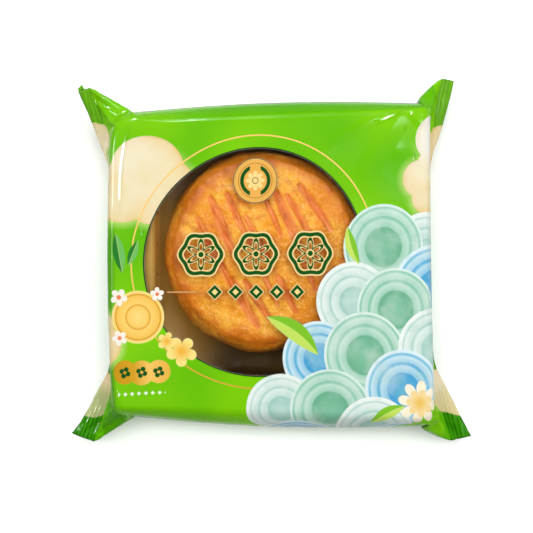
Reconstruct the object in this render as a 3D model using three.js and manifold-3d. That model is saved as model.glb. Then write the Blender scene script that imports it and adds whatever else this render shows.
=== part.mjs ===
// A mooncake sealed in a pillow pack of printed film, lying on its back with the window face up.
// The pack is one closed solid: a cushion-shaped body, a crimped seal across each end, and four
// ears where the seals are wider than the body. Millimetres, +Z up, the pack's length along X and
// its end seals along Y, with the origin on the table under the middle of the pack.

import * as THREE from "three";
import { mergeVertices } from "three/addons/utils/BufferGeometryUtils.js";
import Module from "manifold-3d";

const wasm = await Module();
wasm.setup();

// ---- Driving dimensions -------------------------------------------------------------------------

const PACK_HEIGHT = 22; // table to the crown of the window face
const FACE_EDGE_HEIGHT = 20.6; // where the window face turns down into the walls
const SIDE_WIDEST_HEIGHT = 10; // the widest line round the body, half-way up its two sides
const END_WIDEST_HEIGHT = 17; // and close under the window face on its two ends
const FACE_REACH = 49; // from the middle of the window face to where its crown dies away
const END_EDGE_ROUNDING = 1.8; // plan width of the turned edge along the two ends
const SIDE_EDGE_ROUNDING = 5.4; // and along the two sides, where the film bulges more
const END_FOOT_ROUNDING = 6; // the same under the pack, where the ends tuck under
const SIDE_FOOT_ROUNDING = 7.5;
const EDGE_BLEND_SHARPNESS = 8; // how suddenly the edge changes from end to side at a corner

const SEAL_THICKNESS = 0.8;
const SEAL_HEIGHT = 11; // the root of the seal, along the end wall
const SEAL_INSET = 0.4; // how far the root lies inside the widest line there
const SEAL_LEAN = 1.4; // and the cut edge, because the seal leans in under the pack
const SEAL_FOOT_HEIGHT = 2.8; // the cut edge hangs above the table
const SEAL_SINK = 1.2; // how far the ribbon starts inside its root, to join the wall
const EAR_CREST_HEIGHT = 18.8; // where an ear's upper crease leaves the window face
const EAR_KEEL_HEIGHT = 2.2; // and where its lower crease leaves the underside
const EAR_INSET = 0.5; // how far inside the walls an ear's rim starts and ends

const SEAM_WIDTH = 11; // the lengthwise seam, laid flat under the pack
const SEAM_THICKNESS = 0.6;
const SEAM_LENGTH = 92;
const SEAM_OFFSET = 4.5; // its middle lies to one side of the centre line
const SEAM_CHANNEL_MARGIN = 3;

// Steps along the outline, up a wall, over a face, along a seal and along a side of an ear.
const OUTLINE_STEPS = 112;
const WALL_RINGS = 7;
const CROWN_RINGS = 5;
const SEAL_STEPS = 72;
const EAR_STEPS = 8;

// The pack's four corners, counter-clockwise from the back right. At each: the corner of the body
// in plan, how much of the end and of the side its rounding takes, the fullness of the wall from
// here to the next corner, where the seal leaves the end wall (a Y) and where the folded film
// leaves the side wall (an X), how much of its way out to the tip the seal has still to swing when
// it has turned level, how far out the fold runs past the corner on its way to the tip, and the
// seal's last point at its root and at its cut edge.
const CORNERS = [
  {
    body: [46.9, 47.3],
    rounding: { end: 3, side: 3 },
    fullness: 1.7,
    sealLeaves: 32,
    foldLeaves: 40.6,
    sealSwing: 0.1,
    foldSlack: 2.6,
    rootTip: [50.4, 54.25, 11],
    cutTip: [54.2, 53.9, 11.2],
  },
  {
    body: [-48.7, 44.1],
    rounding: { end: 12, side: 6 },
    fullness: 0.9,
    sealLeaves: 30,
    foldLeaves: -38.9,
    sealSwing: 0.25,
    foldSlack: 5,
    rootTip: [-54.2, 52.2, 11.5],
    cutTip: [-57.2, 52.6, 11.8],
  },
  {
    body: [-48, -46.2],
    rounding: { end: 3, side: 4 },
    fullness: 1.9,
    sealLeaves: -33.5,
    foldLeaves: -39.9,
    sealSwing: 0.45,
    foldSlack: 4.8,
    rootTip: [-54, -53.9, 6.6],
    cutTip: [-60.2, -51.9, 5.8],
  },
  {
    body: [48.5, -48.3],
    rounding: { end: 5, side: 3 },
    fullness: -0.4,
    sealLeaves: -33.5,
    foldLeaves: 36.6,
    sealSwing: 0.4,
    foldSlack: 2.5,
    rootTip: [54.5, -53.8, 6.6],
    cutTip: [60.2, -52.8, 5.8],
  },
];

const SEAL_BEND = 0.55; // where along an ear the seal has turned from hanging to level

// ---- Solids from meshes -------------------------------------------------------------------------

/** A BufferGeometry of shared vertices from a list of points and a list of triangles. */
function geometryOf(points, triangles) {
  const geometry = new THREE.BufferGeometry();
  geometry.setAttribute("position", new THREE.Float32BufferAttribute(points.flat(), 3));
  geometry.setIndex(triangles.flat());
  return geometry;
}

/** A closed geometry as a manifold-3d solid, turned outside out if its faces point inwards. */
function solidOf(geometry) {
  const bare = geometry.clone();
  bare.deleteAttribute("normal");
  bare.deleteAttribute("uv");
  const merged = mergeVertices(bare, 1e-4);
  const vertProperties = new Float32Array(merged.attributes.position.array);
  const triVerts = new Uint32Array(merged.index.array);
  const solid = new wasm.Manifold(new wasm.Mesh({ numProp: 3, vertProperties, triVerts }));
  if (solid.volume() > 0) return solid;
  triVerts.reverse();
  return new wasm.Manifold(new wasm.Mesh({ numProp: 3, vertProperties, triVerts }));
}

/** The faces of a manifold-3d solid as a BufferGeometry with flat normals. */
function geometryFrom(solid) {
  const mesh = solid.getMesh();
  const geometry = new THREE.BufferGeometry();
  geometry.setAttribute("position", new THREE.BufferAttribute(mesh.vertProperties, 3));
  geometry.setIndex(new THREE.BufferAttribute(mesh.triVerts, 1));
  const faceted = geometry.toNonIndexed();
  faceted.computeVertexNormals();
  return faceted;
}

/** A point part of the way from one point to another. */
function between(from, to, share) {
  return from.clone().lerp(to, share);
}

// ---- The body -----------------------------------------------------------------------------------

/** The body's plan outline: four full sides, with a rounded corner between each two. */
function bodyOutline() {
  const corners = CORNERS.map(({ body }) => new THREE.Vector2(...body));
  const path = new THREE.Path();
  corners.forEach((corner, i) => {
    const next = corners[(i + 1) % corners.length];
    const before = corners[(i + corners.length - 1) % corners.length];
    const { rounding, fullness } = CORNERS[i];
    const [behind, ahead] = i % 2 === 0 ? ["end", "side"] : ["side", "end"];
    const nextRounding = CORNERS[(i + 1) % corners.length].rounding[ahead];
    const start = between(corner, next, rounding[ahead] / corner.distanceTo(next));
    const end = between(next, corner, nextRounding / corner.distanceTo(next));
    const turnIn = between(corner, before, rounding[behind] / corner.distanceTo(before));
    if (i === 0) path.moveTo(turnIn.x, turnIn.y);
    path.quadraticCurveTo(corner.x, corner.y, start.x, start.y);
    const outwards = new THREE.Vector2(next.y - corner.y, corner.x - next.x).normalize();
    const middle = between(start, end, 0.5).addScaledVector(outwards, 2 * fullness);
    path.quadraticCurveTo(middle.x, middle.y, end.x, end.y);
  });
  return path.getSpacedPoints(OUTLINE_STEPS).slice(0, -1);
}

/** A quarter-round rise from 0 to 1 as share goes from 0 to 1. */
function turnedEdge(share) {
  return Math.sqrt(Math.max(0, 1 - (1 - share) ** 2));
}

/** A size at an outline point, from what it is along the sides and along the ends. */
function sideToEnd(point, side, end) {
  const alongX = Math.abs(point.x) ** EDGE_BLEND_SHARPNESS;
  const alongY = Math.abs(point.y) ** EDGE_BLEND_SHARPNESS;
  return THREE.MathUtils.lerp(side, end, alongX / (alongX + alongY));
}

/** The height of the body's widest line at an outline point. */
function widestHeight(point) {
  return sideToEnd(point, SIDE_WIDEST_HEIGHT, END_WIDEST_HEIGHT);
}

/** The height of the gently crowned window face over a place in plan. */
function windowFace(x, y) {
  const fall = (1 - (x / FACE_REACH) ** 2) * (1 - (y / FACE_REACH) ** 2);
  return THREE.MathUtils.lerp(FACE_EDGE_HEIGHT, PACK_HEIGHT, Math.max(0, fall));
}

/** Half of the body as rings of points, from the widest line to the middle of a face. */
function shellRings(outline, faceHeight, rounding) {
  const rings = [];
  for (let ring = 1; ring <= WALL_RINGS; ring++) {
    const share = 1 - Math.cos((ring / WALL_RINGS) * (Math.PI / 2));
    rings.push(
      outline.map((p) => {
        const inset = (sideToEnd(p, rounding.side, rounding.end) * share) / p.length();
        const [x, y] = [p.x * (1 - inset), p.y * (1 - inset)];
        return [x, y, THREE.MathUtils.lerp(widestHeight(p), faceHeight(x, y), turnedEdge(share))];
      }),
    );
  }
  const shoulder = rings[rings.length - 1];
  for (let ring = 1; ring < CROWN_RINGS; ring++) {
    const reach = 1 - ring / CROWN_RINGS;
    rings.push(shoulder.map(([x, y]) => [x * reach, y * reach, faceHeight(x * reach, y * reach)]));
  }
  return rings;
}

/** The cushion-shaped body, closed above and below by a fan to its middle. */
function bodySolid() {
  const outline = bodyOutline();
  const count = outline.length;
  const foot = { side: SIDE_FOOT_ROUNDING, end: END_FOOT_ROUNDING };
  const edge = { side: SIDE_EDGE_ROUNDING, end: END_EDGE_ROUNDING };
  const below = shellRings(outline, () => 0, foot);
  const widest = outline.map((p) => [p.x, p.y, widestHeight(p)]);
  const above = shellRings(outline, windowFace, edge);
  const rings = [...below.reverse(), widest, ...above];
  const points = rings.flat();
  const triangles = [];
  for (let ring = 0; ring + 1 < rings.length; ring++) {
    for (let i = 0; i < count; i++) {
      const a = ring * count + i;
      const b = ring * count + ((i + 1) % count);
      triangles.push([a, b, b + count], [a, b + count, a + count]);
    }
  }
  const bottom = points.push([0, 0, 0]) - 1;
  const crown = points.push([0, 0, PACK_HEIGHT]) - 1;
  const topRing = (rings.length - 1) * count;
  for (let i = 0; i < count; i++) {
    const next = (i + 1) % count;
    triangles.push([bottom, next, i], [crown, topRing + i, topRing + next]);
  }
  return solidOf(geometryOf(points, triangles));
}

/** A block between two heights, centred on a line along X. */
function strip(length, width, middleY, low, high) {
  const box = new THREE.BoxGeometry(length, width, high - low);
  box.translate(0, middleY, (low + high) / 2);
  return solidOf(box);
}

/** The body with its lengthwise seam laid in a shallow channel, so that the underside is flat. */
function bodyWithSeam() {
  const channelWidth = SEAM_WIDTH + 2 * SEAM_CHANNEL_MARGIN;
  const channel = strip(2 * SEAM_LENGTH, channelWidth, SEAM_OFFSET, -1, SEAM_THICKNESS);
  const seam = strip(SEAM_LENGTH, SEAM_WIDTH, SEAM_OFFSET, 0, 2 * SEAM_THICKNESS);
  return bodySolid().subtract(channel).add(seam);
}

// ---- Seals and ears -----------------------------------------------------------------------------

/** The line of the seal at one ear, from the tip to where it lies along the end wall. */
function earLine(tip, wall, swing) {
  const bend = between(tip, wall, SEAL_BEND);
  bend.x = THREE.MathUtils.lerp(tip.x, wall.x, swing);
  bend.z = THREE.MathUtils.lerp(bend.z, tip.z, 0.5);
  return new THREE.QuadraticBezierCurve3(tip, bend, wall);
}

/** One edge of a seal as a row of points from the first corner's tip to the second corner's tip. */
function sealEdge(first, second, tipOf, inset, height) {
  const walls = [first, second].map(({ body, sealLeaves }) => {
    const x = body[0] - Math.sign(body[0]) * inset;
    return new THREE.Vector3(x, sealLeaves, height);
  });
  const starts = earLine(new THREE.Vector3(...tipOf(first)), walls[0], first.sealSwing);
  const ends = earLine(new THREE.Vector3(...tipOf(second)), walls[1], second.sealSwing);
  const edge = new THREE.CurvePath();
  edge.add(starts);
  edge.add(new THREE.LineCurve3(walls[0], walls[1]));
  edge.add(new THREE.QuadraticBezierCurve3(ends.v2, ends.v1, ends.v0));
  return edge.getSpacedPoints(SEAL_STEPS);
}

/** A seal: a ribbon of even thickness that hangs down the end wall and swings level at the ears. */
function sealSolid(first, second) {
  const roots = sealEdge(first, second, ({ rootTip }) => rootTip, SEAL_INSET, SEAL_HEIGHT);
  const cuts = sealEdge(first, second, ({ cutTip }) => cutTip, SEAL_LEAN, SEAL_FOOT_HEIGHT);
  const points = [];
  roots.forEach((root, i) => {
    const along = roots[Math.min(SEAL_STEPS, i + 1)].clone().sub(roots[Math.max(0, i - 1)]);
    const across = cuts[i].clone().sub(root);
    const lift = along.cross(across).normalize().multiplyScalar(SEAL_THICKNESS / 2);
    const sunk = root.clone().addScaledVector(across.normalize(), -SEAL_SINK);
    for (const [place, sign] of [[sunk, 1], [cuts[i], 1], [cuts[i], -1], [sunk, -1]]) {
      points.push(place.clone().addScaledVector(lift, sign).toArray());
    }
  });
  const triangles = [];
  for (let i = 0; i < SEAL_STEPS; i++) {
    for (let side = 0; side < 4; side++) {
      const a = i * 4 + side;
      const b = i * 4 + ((side + 1) % 4);
      triangles.push([a, b, b + 4], [a, b + 4, a + 4]);
    }
  }
  const last = SEAL_STEPS * 4;
  triangles.push([0, 2, 1], [0, 3, 2], [last, last + 1, last + 2], [last, last + 2, last + 3]);
  return solidOf(geometryOf(points, triangles));
}

/** An ear: two fans of film, from the crest and from the keel, that meet along a thin rim. */
function earSolid(corner) {
  const { body, rounding, sealLeaves, foldLeaves, sealSwing, foldSlack, rootTip } = corner;
  const [x, y] = body;
  const tip = new THREE.Vector3(...rootTip);
  const inwards = 1 - ((rounding.end + rounding.side) / 4 + END_EDGE_ROUNDING) / Math.hypot(x, y);
  const crest = [x * inwards, y * inwards, EAR_CREST_HEIGHT];
  const keel = [x * inwards, y * inwards, EAR_KEEL_HEIGHT];
  const wall = new THREE.Vector3(x - SEAL_INSET * Math.sign(x), sealLeaves, SEAL_HEIGHT);
  const side = new THREE.Vector3(foldLeaves, y - EAR_INSET * Math.sign(y), SIDE_WIDEST_HEIGHT);
  const knee = new THREE.Vector3(x, y + foldSlack * Math.sign(y), SIDE_WIDEST_HEIGHT);
  const rim = [
    ...earLine(tip, wall, sealSwing).getPoints(EAR_STEPS).reverse(),
    ...new THREE.QuadraticBezierCurve3(tip, knee, side).getPoints(EAR_STEPS).slice(1),
  ];
  const count = rim.length;
  const half = SEAL_THICKNESS / 2;
  const points = [...rim.map((p) => [p.x, p.y, p.z + half]), ...rim.map((p) => [p.x, p.y, p.z - half])];
  const top = points.push(crest) - 1;
  const bottom = points.push(keel) - 1;
  const triangles = [];
  for (let i = 0; i + 1 < count; i++) {
    triangles.push([top, i, i + 1], [bottom, count + i + 1, count + i]);
    triangles.push([i, count + i, count + i + 1], [i, count + i + 1, i + 1]);
  }
  const end = count - 1;
  triangles.push([top, bottom, 0], [bottom, count, 0]);
  triangles.push([top, end, bottom], [bottom, end, count + end]);
  return solidOf(geometryOf(points, triangles));
}

// ---- The pack -----------------------------------------------------------------------------------

const [backRight, backLeft, frontLeft, frontRight] = CORNERS;
const seals = [sealSolid(backLeft, frontLeft), sealSolid(backRight, frontRight)];
const ears = CORNERS.map(earSolid);
const packSolid = [...seals, ...ears].reduce((whole, piece) => whole.add(piece), bodyWithSeam());

const film = new THREE.MeshStandardMaterial({
  name: "film",
  color: 0x72c20c,
  roughness: 0.22,
  metalness: 0,
});

const pack = new THREE.Mesh(geometryFrom(packSolid), film);
pack.name = "pack";

const mooncakePack = new THREE.Group();
mooncakePack.add(pack);

export default mooncakePack;
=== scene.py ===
"""A round mooncake in a plastic tray, sealed in a glossy green pillow pack with a clear window.

The pack's film is cut flat, wrapped into a tube, sealed across both ends and drawn down over the
pack's body by a relaxation that keeps the film's lengths, so that the corners stand out as ears.
Sizes in the classes are in millimetres; every mesh is handed to Blender in metres.
"""

from __future__ import annotations

import logging
import math
from dataclasses import dataclass, field
from enum import Enum
from functools import reduce

import bpy
import numpy as np
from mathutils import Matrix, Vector

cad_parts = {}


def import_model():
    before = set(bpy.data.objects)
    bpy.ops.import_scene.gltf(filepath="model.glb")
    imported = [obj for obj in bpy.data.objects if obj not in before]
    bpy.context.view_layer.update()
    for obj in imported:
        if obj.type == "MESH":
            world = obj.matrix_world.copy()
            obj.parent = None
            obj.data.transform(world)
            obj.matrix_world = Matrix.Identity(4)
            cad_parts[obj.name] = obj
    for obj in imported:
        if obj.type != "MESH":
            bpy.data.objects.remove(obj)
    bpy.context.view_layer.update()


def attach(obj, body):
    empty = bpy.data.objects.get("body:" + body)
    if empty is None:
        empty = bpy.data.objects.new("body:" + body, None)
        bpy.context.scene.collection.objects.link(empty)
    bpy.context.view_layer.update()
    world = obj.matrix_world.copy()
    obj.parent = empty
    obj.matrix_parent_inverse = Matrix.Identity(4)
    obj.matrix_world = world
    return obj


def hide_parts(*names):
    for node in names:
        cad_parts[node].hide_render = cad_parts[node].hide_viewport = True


LOG = logging.getLogger("mooncake_pack")
MM = 0.001
BODY = "root"
NODE = "pack"
FILM_UNIT = 100.0  # millimetres of flat film to one unit of its UV map
CRIMP_PITCH = 1.15  # from crimp to crimp of every seal
SEAM_MIDDLE = 4.5  # Y of the seam under the pack
RING_POINTS = 192
CAKE_MARKS = ("slash", "shoulder")  # values that the cake's mesh carries for its crust
INK_STRENGTH = 0.74  # a surface of this share of a display colour shows as that colour here

Array = np.ndarray
Colour = tuple[float, float, float]
Point = tuple[float, float, float]
Plan = tuple[float, float]  # a place or a size in plan
Stops = tuple[tuple[float, int, int, int], ...]  # a place from 0 to 1, and a display colour


# ---- Small geometry helpers --------------------


def smooth_step(low: float, high: float, value: Array) -> Array:
    """A smooth rise from 0 at low to 1 at high."""
    share = np.clip((value - low) / (high - low), 0.0, 1.0)
    return share * share * (3.0 - 2.0 * share)


def bezier(start: Array, control: Array, end: Array, count: int) -> Array:
    """Points along a quadratic curve from start to end, which bends towards control."""
    share = np.linspace(0.0, 1.0, count)[:, None]
    return (1 - share) ** 2 * start + 2 * share * (1 - share) * control + share**2 * end


def evenly(points: Array, count: int) -> Array:
    """Points that lie evenly along a polyline.

    Args:
        points: the polyline's own points, one a row.
        count: how many are wanted, both ends among them.

    Returns:
        The points.
    """
    steps = np.linalg.norm(np.diff(points, axis=0), axis=1)
    along = np.concatenate([[0.0], np.cumsum(steps)])
    wanted = np.linspace(0.0, along[-1], count)
    return np.stack([np.interp(wanted, along, points[:, k]) for k in range(points.shape[1])], axis=1)


def value_noise(points: Array, cell: float, seed: int) -> Array:
    """Smooth noise from -1 to 1 over a space of two or three dimensions.

    Args:
        points: where to read it, one point a row.
        cell: size of the noise's cells.
        seed: picks one noise of many.

    Returns:
        One value a point.
    """
    place = points / cell
    base = np.floor(place).astype(np.int64)
    part = place - base
    part = part * part * (3.0 - 2.0 * part)
    dims = points.shape[1]
    primes = np.array([73856093, 19349663, 83492791][:dims], dtype=np.int64)
    total = np.zeros(len(points))
    for corner in range(2**dims):
        step = np.array([(corner >> k) & 1 for k in range(dims)], dtype=np.int64)
        key = ((base + step) * primes).sum(axis=1) + seed * 2654435761
        key = (key ^ (key >> 13)) * 1274126177 & 0xFFFFFFFF
        key = (key ^ (key >> 16)) & 0xFFFF
        weight = np.prod(np.where(step == 1, part, 1.0 - part), axis=1)
        total += weight * (key / 32767.5 - 1.0)
    return total


def spline(points: Array, places: Array, closed: bool) -> Array:
    """Smooth curves through the rows of a grid, read at fractions of rows.

    Args:
        points: the grid, whose first axis is read along.
        places: where to read it, as row numbers with fractions.
        closed: whether the last row runs on into the first.

    Returns:
        The grid at those places.
    """
    count = len(points)
    base = np.floor(places).astype(int)
    if not closed:
        base = np.clip(base, 0, count - 2)
    part = (places - base).reshape((-1,) + (1,) * (points.ndim - 1))
    near = [base + k for k in (-1, 0, 1, 2)]
    near = [n % count if closed else np.clip(n, 0, count - 1) for n in near]
    a, b, c, d = (points[n] for n in near)
    return b + part * 0.5 * (
        c - a + part * (2 * a - 5 * b + 4 * c - d + part * (3 * (b - c) + d - a))
    )


def tube_faces(rows: int, columns: int) -> list[tuple[int, ...]]:
    """Quads between the rows of a grid whose columns close into a tube.

    Args:
        rows: how many rows of points it has.
        columns: how many points a row has.

    Returns:
        The quads, as point numbers.
    """
    row, column = np.meshgrid(np.arange(rows - 1), np.arange(columns), indexing="ij")
    here, ahead = row * columns + column, row * columns + (column + 1) % columns
    quads = np.stack([here, here + columns, ahead + columns, ahead], axis=-1)
    return [tuple(quad) for quad in quads.reshape(-1, 4).tolist()]


def nearest(plan: Array, line: Array) -> tuple[Array, Array]:
    """How far plan points are off a polyline, and how far along it they lie.

    Args:
        plan: the points, one a row.
        line: the polyline's points.

    Returns:
        The distances off it, and the places along it from 0 to 1.
    """
    off, along = np.full(len(plan), np.inf), np.zeros(len(plan))
    for k in range(len(line) - 1):
        run = line[k + 1] - line[k]
        share = np.clip(((plan - line[k]) @ run) / (run @ run), 0.0, 1.0)
        away = np.linalg.norm(plan - line[k] - share[:, None] * run, axis=1)
        along = np.where(away < off, (k + share) / (len(line) - 1), along)
        off = np.minimum(off, away)
    return off, along


def linked(name: str, data: bpy.types.ID) -> bpy.types.Object:
    """A new object at the origin, linked to the scene.

    Args:
        name: its name.
        data: the mesh, light or camera that it shows.

    Returns:
        The object.
    """
    made = bpy.data.objects.new(name, data)
    bpy.context.scene.collection.objects.link(made)
    return made


def mesh_piece(
    name: str,
    points: Array,
    faces: list[tuple[int, ...]],
    uv: Array | None = None,
    marks: dict[str, Array] | None = None,
) -> bpy.types.Object:
    """A smooth-shaded mesh object at the origin, from millimetres.

    Args:
        name: the object's name.
        points: its vertices, in millimetres.
        faces: its faces, as vertex numbers.
        uv: a UV pair for each corner of each face, if it has any.
        marks: values for each vertex, by the name that a material reads them by.

    Returns:
        The object, linked to the scene.
    """
    mesh = bpy.data.meshes.new(name)
    mesh.from_pydata((points * MM).tolist(), [], faces)
    if uv is not None:
        layer = mesh.uv_layers.new(name="film")
        layer.data.foreach_set("uv", uv.astype(np.float32).ravel())
    for mark, values in (marks or {}).items():
        attribute = mesh.attributes.new(mark, "FLOAT", "POINT")
        attribute.data.foreach_set("value", values.astype(np.float32))
    mesh.polygons.foreach_set("use_smooth", np.ones(len(mesh.polygons), dtype=bool))
    mesh.update()
    return linked(name, mesh)


# ---- Shader expressions --------------------


def ink(red: int, green: int, blue: int, strength: float = INK_STRENGTH) -> Colour:
    """A display colour as the linear colour of a surface.

    Args:
        red: its red part, from 0 to 255.
        green: its green part.
        blue: its blue part.
        strength: the share of it that the surface sends back.

    Returns:
        The colour.
    """
    parts = [part / 255 for part in (red, green, blue)]
    linear = [p / 12.92 if p <= 0.04045 else ((p + 0.055) / 1.055) ** 2.4 for p in parts]
    return tuple(strength * part for part in linear)


@dataclass(frozen=True)
class Field:
    """A value that changes over a surface: the output of one shader node."""

    graph: Graph
    socket: bpy.types.NodeSocket

    def __add__(self, other: Field | float) -> Field:
        """Their sum."""
        return self.graph.math("ADD", self, other)

    def __sub__(self, other: Field | float) -> Field:
        """This less the other."""
        return self.graph.math("SUBTRACT", self, other)

    def __rsub__(self, other: float) -> Field:
        """The other less this."""
        return self.graph.math("SUBTRACT", other, self)

    def __mul__(self, other: Field | float) -> Field:
        """Their product."""
        return self.graph.math("MULTIPLY", self, other)

    def __truediv__(self, other: Field | float) -> Field:
        """This over the other."""
        return self.graph.math("DIVIDE", self, other)

    def __abs__(self) -> Field:
        """Its size without its sign."""
        return self.graph.math("ABSOLUTE", self)


Value = Field | float | Colour | Point


@dataclass
class Graph:
    """A node tree that is written as expressions of fields."""

    tree: bpy.types.NodeTree

    def feed(self, node: bpy.types.Node, inputs: dict[int | str, object]) -> None:
        """Sets a node's sockets.

        Args:
            node: the node.
            inputs: values, or the sources of values, by the sockets' numbers or names.
        """
        for key, value in inputs.items():
            socket = node.inputs[key]
            source = value.socket if isinstance(value, Field) else value
            if isinstance(source, bpy.types.NodeSocket):
                self.tree.links.new(source, socket)
            else:
                socket.default_value = (*value, 1.0) if socket.type == "RGBA" else value

    def node(self, kind: str, inputs: dict[int | str, object], **settings: object) -> bpy.types.Node:
        """One node.

        Args:
            kind: the node's type.
            inputs: what goes into its sockets.
            **settings: its other settings.

        Returns:
            The node.
        """
        made = self.tree.nodes.new(kind)
        for name, value in settings.items():
            setattr(made, name, value)
        self.feed(made, inputs)
        return made

    def read(
        self, kind: str, inputs: dict[int | str, object], output: int | str = 0, **settings: object
    ) -> Field:
        """A new node's output, by its number or name."""
        return Field(self, self.node(kind, inputs, **settings).outputs[output])

    def math(self, operation: str, *values: Field | float, clamp: bool = False) -> Field:
        """One step of arithmetic on numbers."""
        return self.read("ShaderNodeMath", dict(enumerate(values)), operation=operation, use_clamp=clamp)

    def vector(self, operation: str, *values: Field | Point) -> Field:
        """One step of arithmetic on points, which gives a point or a length."""
        output = "Value" if operation in ("DISTANCE", "LENGTH") else "Vector"
        return self.read("ShaderNodeVectorMath", dict(enumerate(values)), output, operation=operation)

    def place(self) -> Field:
        """Where the surface lies, in the object's own coordinates."""
        return self.read("ShaderNodeTexCoord", {}, "Object")

    def parts(self, point: Field) -> tuple[Field, Field, Field]:
        """The three coordinates of a point."""
        return tuple(Field(self, out) for out in self.node("ShaderNodeSeparateXYZ", {0: point}).outputs)

    def rise(
        self, value: Field, low: Field | float, high: Field | float, smooth: bool = False
    ) -> Field:
        """A rise from 0 to 1, or a fall where low is above high.

        Args:
            value: what it follows.
            low: the value where it is 0.
            high: the value where it is 1.
            smooth: whether it starts and ends gently.

        Returns:
            The rise.
        """
        kind = "SMOOTHSTEP" if smooth else "LINEAR"
        inputs = {"Value": value, "From Min": low, "From Max": high}
        return self.read("ShaderNodeMapRange", inputs, "Result", interpolation_type=kind, clamp=True)

    def inside(self, distance: Field, soft: float = 0.07) -> Field:
        """A mask that is 1 where a distance is below zero."""
        return self.rise(distance, soft, -soft)

    def mix(self, below: Value, above: Value, mask: Field) -> Field:
        """A colour laid over another through a mask."""
        return self.read("ShaderNodeMix", {0: mask, 6: below, 7: above}, 2, data_type="RGBA")

    def blend(self, low: Value, high: Value, share: Field) -> Field:
        """A number between two others."""
        return self.read("ShaderNodeMix", {0: share, 2: low, 3: high}, data_type="FLOAT")

    def ramp(self, value: Field, stops: Stops) -> Field:
        """A colour that runs through stops.

        Args:
            value: what it follows, from 0 to 1.
            stops: places between, with the display colour at each.

        Returns:
            The colour.
        """
        made = self.node("ShaderNodeValToRGB", {0: value})
        for _ in stops[2:]:
            made.color_ramp.elements.new(0.5)
        for element, (place, *parts) in zip(made.color_ramp.elements, stops):
            element.position, element.color = place, (*ink(*parts), 1.0)
        return Field(self, made.outputs[0])

    def noise(
        self, point: Field, scale: Field | float, detail: Field | float = 2.0, roughness: float = 0.5
    ) -> Field:
        """Cloudy noise around 0.5."""
        inputs = {"Vector": point, "Scale": scale, "Detail": detail, "Roughness": roughness}
        return self.read("ShaderNodeTexNoise", inputs)

    def bump(self, height: Field, distance: float) -> Field:
        """The relief of a height field, of which 1 stands that many metres high."""
        return self.read("ShaderNodeBump", {"Height": height, "Distance": distance})

    def placed(self, motif: Motif, inputs: dict[str, Value]) -> dict[str, Field]:
        """A motif's group placed with its own values, as its outputs by name."""
        made = self.node("ShaderNodeGroup", inputs, node_tree=motif.group())
        return {socket.name: Field(self, socket) for socket in made.outputs}

    def patches(self, point: Field, scale: float, detail: float, low: float, high: float) -> Field:
        """A mask of uneven patches."""
        given = {"Point": point, "Scale": scale, "Detail": detail, "Low": low, "High": high}
        return self.placed(Motif.MOTTLE, given)["Mask"]


@dataclass
class MotifBody:
    """The insides of the node groups: each reads fields by name and gives others by name."""

    graph: Graph
    given: dict[str, Field]

    def polar(self) -> tuple[Field, Field]:
        """How far a point is from the centre, as a share of the radius, and in what direction."""
        x, y, _ = self.graph.parts(self.given["Point"])
        away = self.graph.vector("LENGTH", self.given["Point"])
        return away / self.given["Radius"], self.graph.math("ARCTAN2", y, x)

    def on_line(self) -> tuple[Field, Field]:
        """How far a point lies along a turned line from its middle, and how far off its bend."""
        inputs = {"Vector": self.given["Point"], "Angle": self.given["Turn"]}
        turned = self.graph.read("ShaderNodeVectorRotate", inputs, rotation_type="Z_AXIS", invert=True)
        x, y, _ = self.graph.parts(turned)
        return x, y + x * x * self.given["Bend"]

    def mottle(self) -> dict[str, Field]:
        """Uneven patches of two sizes, for any material whose colour or surface isn't quite even."""
        level = self.graph.noise(*(self.given[key] for key in ("Point", "Scale", "Detail")))
        return {"Mask": self.graph.rise(level, self.given["Low"], self.given["High"])}

    def rosette(self) -> dict[str, Field]:
        """An open round ornament: a scalloped ring round a looped line of petals and a dot."""
        graph, (share, angle) = self.graph, self.polar()
        wave = graph.math("COSINE", angle * self.given["Petals"])
        ring = abs(share - (wave * 0.055 + 0.86)) - 0.085
        petals = abs(share - (wave * -0.2 + 0.42)) - 0.075
        lines = graph.math("MINIMUM", graph.math("MINIMUM", ring, petals), share - 0.12)
        return {"Mask": graph.inside(lines, 0.012), "Edge": graph.rise(lines, 0.085, 0.06)}

    def blossom(self) -> dict[str, Field]:
        """A flower seen from above: rounded petals round a heart."""
        share, angle = self.polar()
        turned = (angle + self.given["Turn"]) * (self.given["Petals"] * 0.5)
        wave = abs(self.graph.math("COSINE", turned))
        edge = self.graph.math("SQRT", wave) * 0.62 + 0.38
        return {"Mask": self.graph.inside(share - edge, 0.02), "Share": share}

    def fold(self) -> dict[str, Field]:
        """The height of a crisp fold in a sheet: a ridge along a bent line, lower to its ends."""
        x, off = self.on_line()
        share = x / (self.given["Length"] * 0.5)
        ridge = self.graph.math("SUBTRACT", 1.0, abs(off) / self.given["Width"], clamp=True)
        ends = self.graph.math("SUBTRACT", 1.0, share * share * share * share, clamp=True)
        return {"Height": ridge * ends}

    def leaf(self) -> dict[str, Field]:
        """A pointed leaf between two arcs, with masks for its upper half and its vein."""
        graph, (x, bent) = self.graph, self.on_line()
        half, depth = self.given["Length"] * 0.5, self.given["Width"] * 0.5
        radius = (half * half + depth * depth) / (depth * 2.0)
        side = abs(bent) + (radius - depth)
        edge = graph.math("SQRT", x * x + side * side) - radius
        upper, vein = graph.rise(bent, -0.06, 0.06), graph.inside(abs(bent) - 0.09, 0.06)
        return {"Mask": graph.inside(edge, 0.08), "Upper": upper, "Vein": vein}


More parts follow.
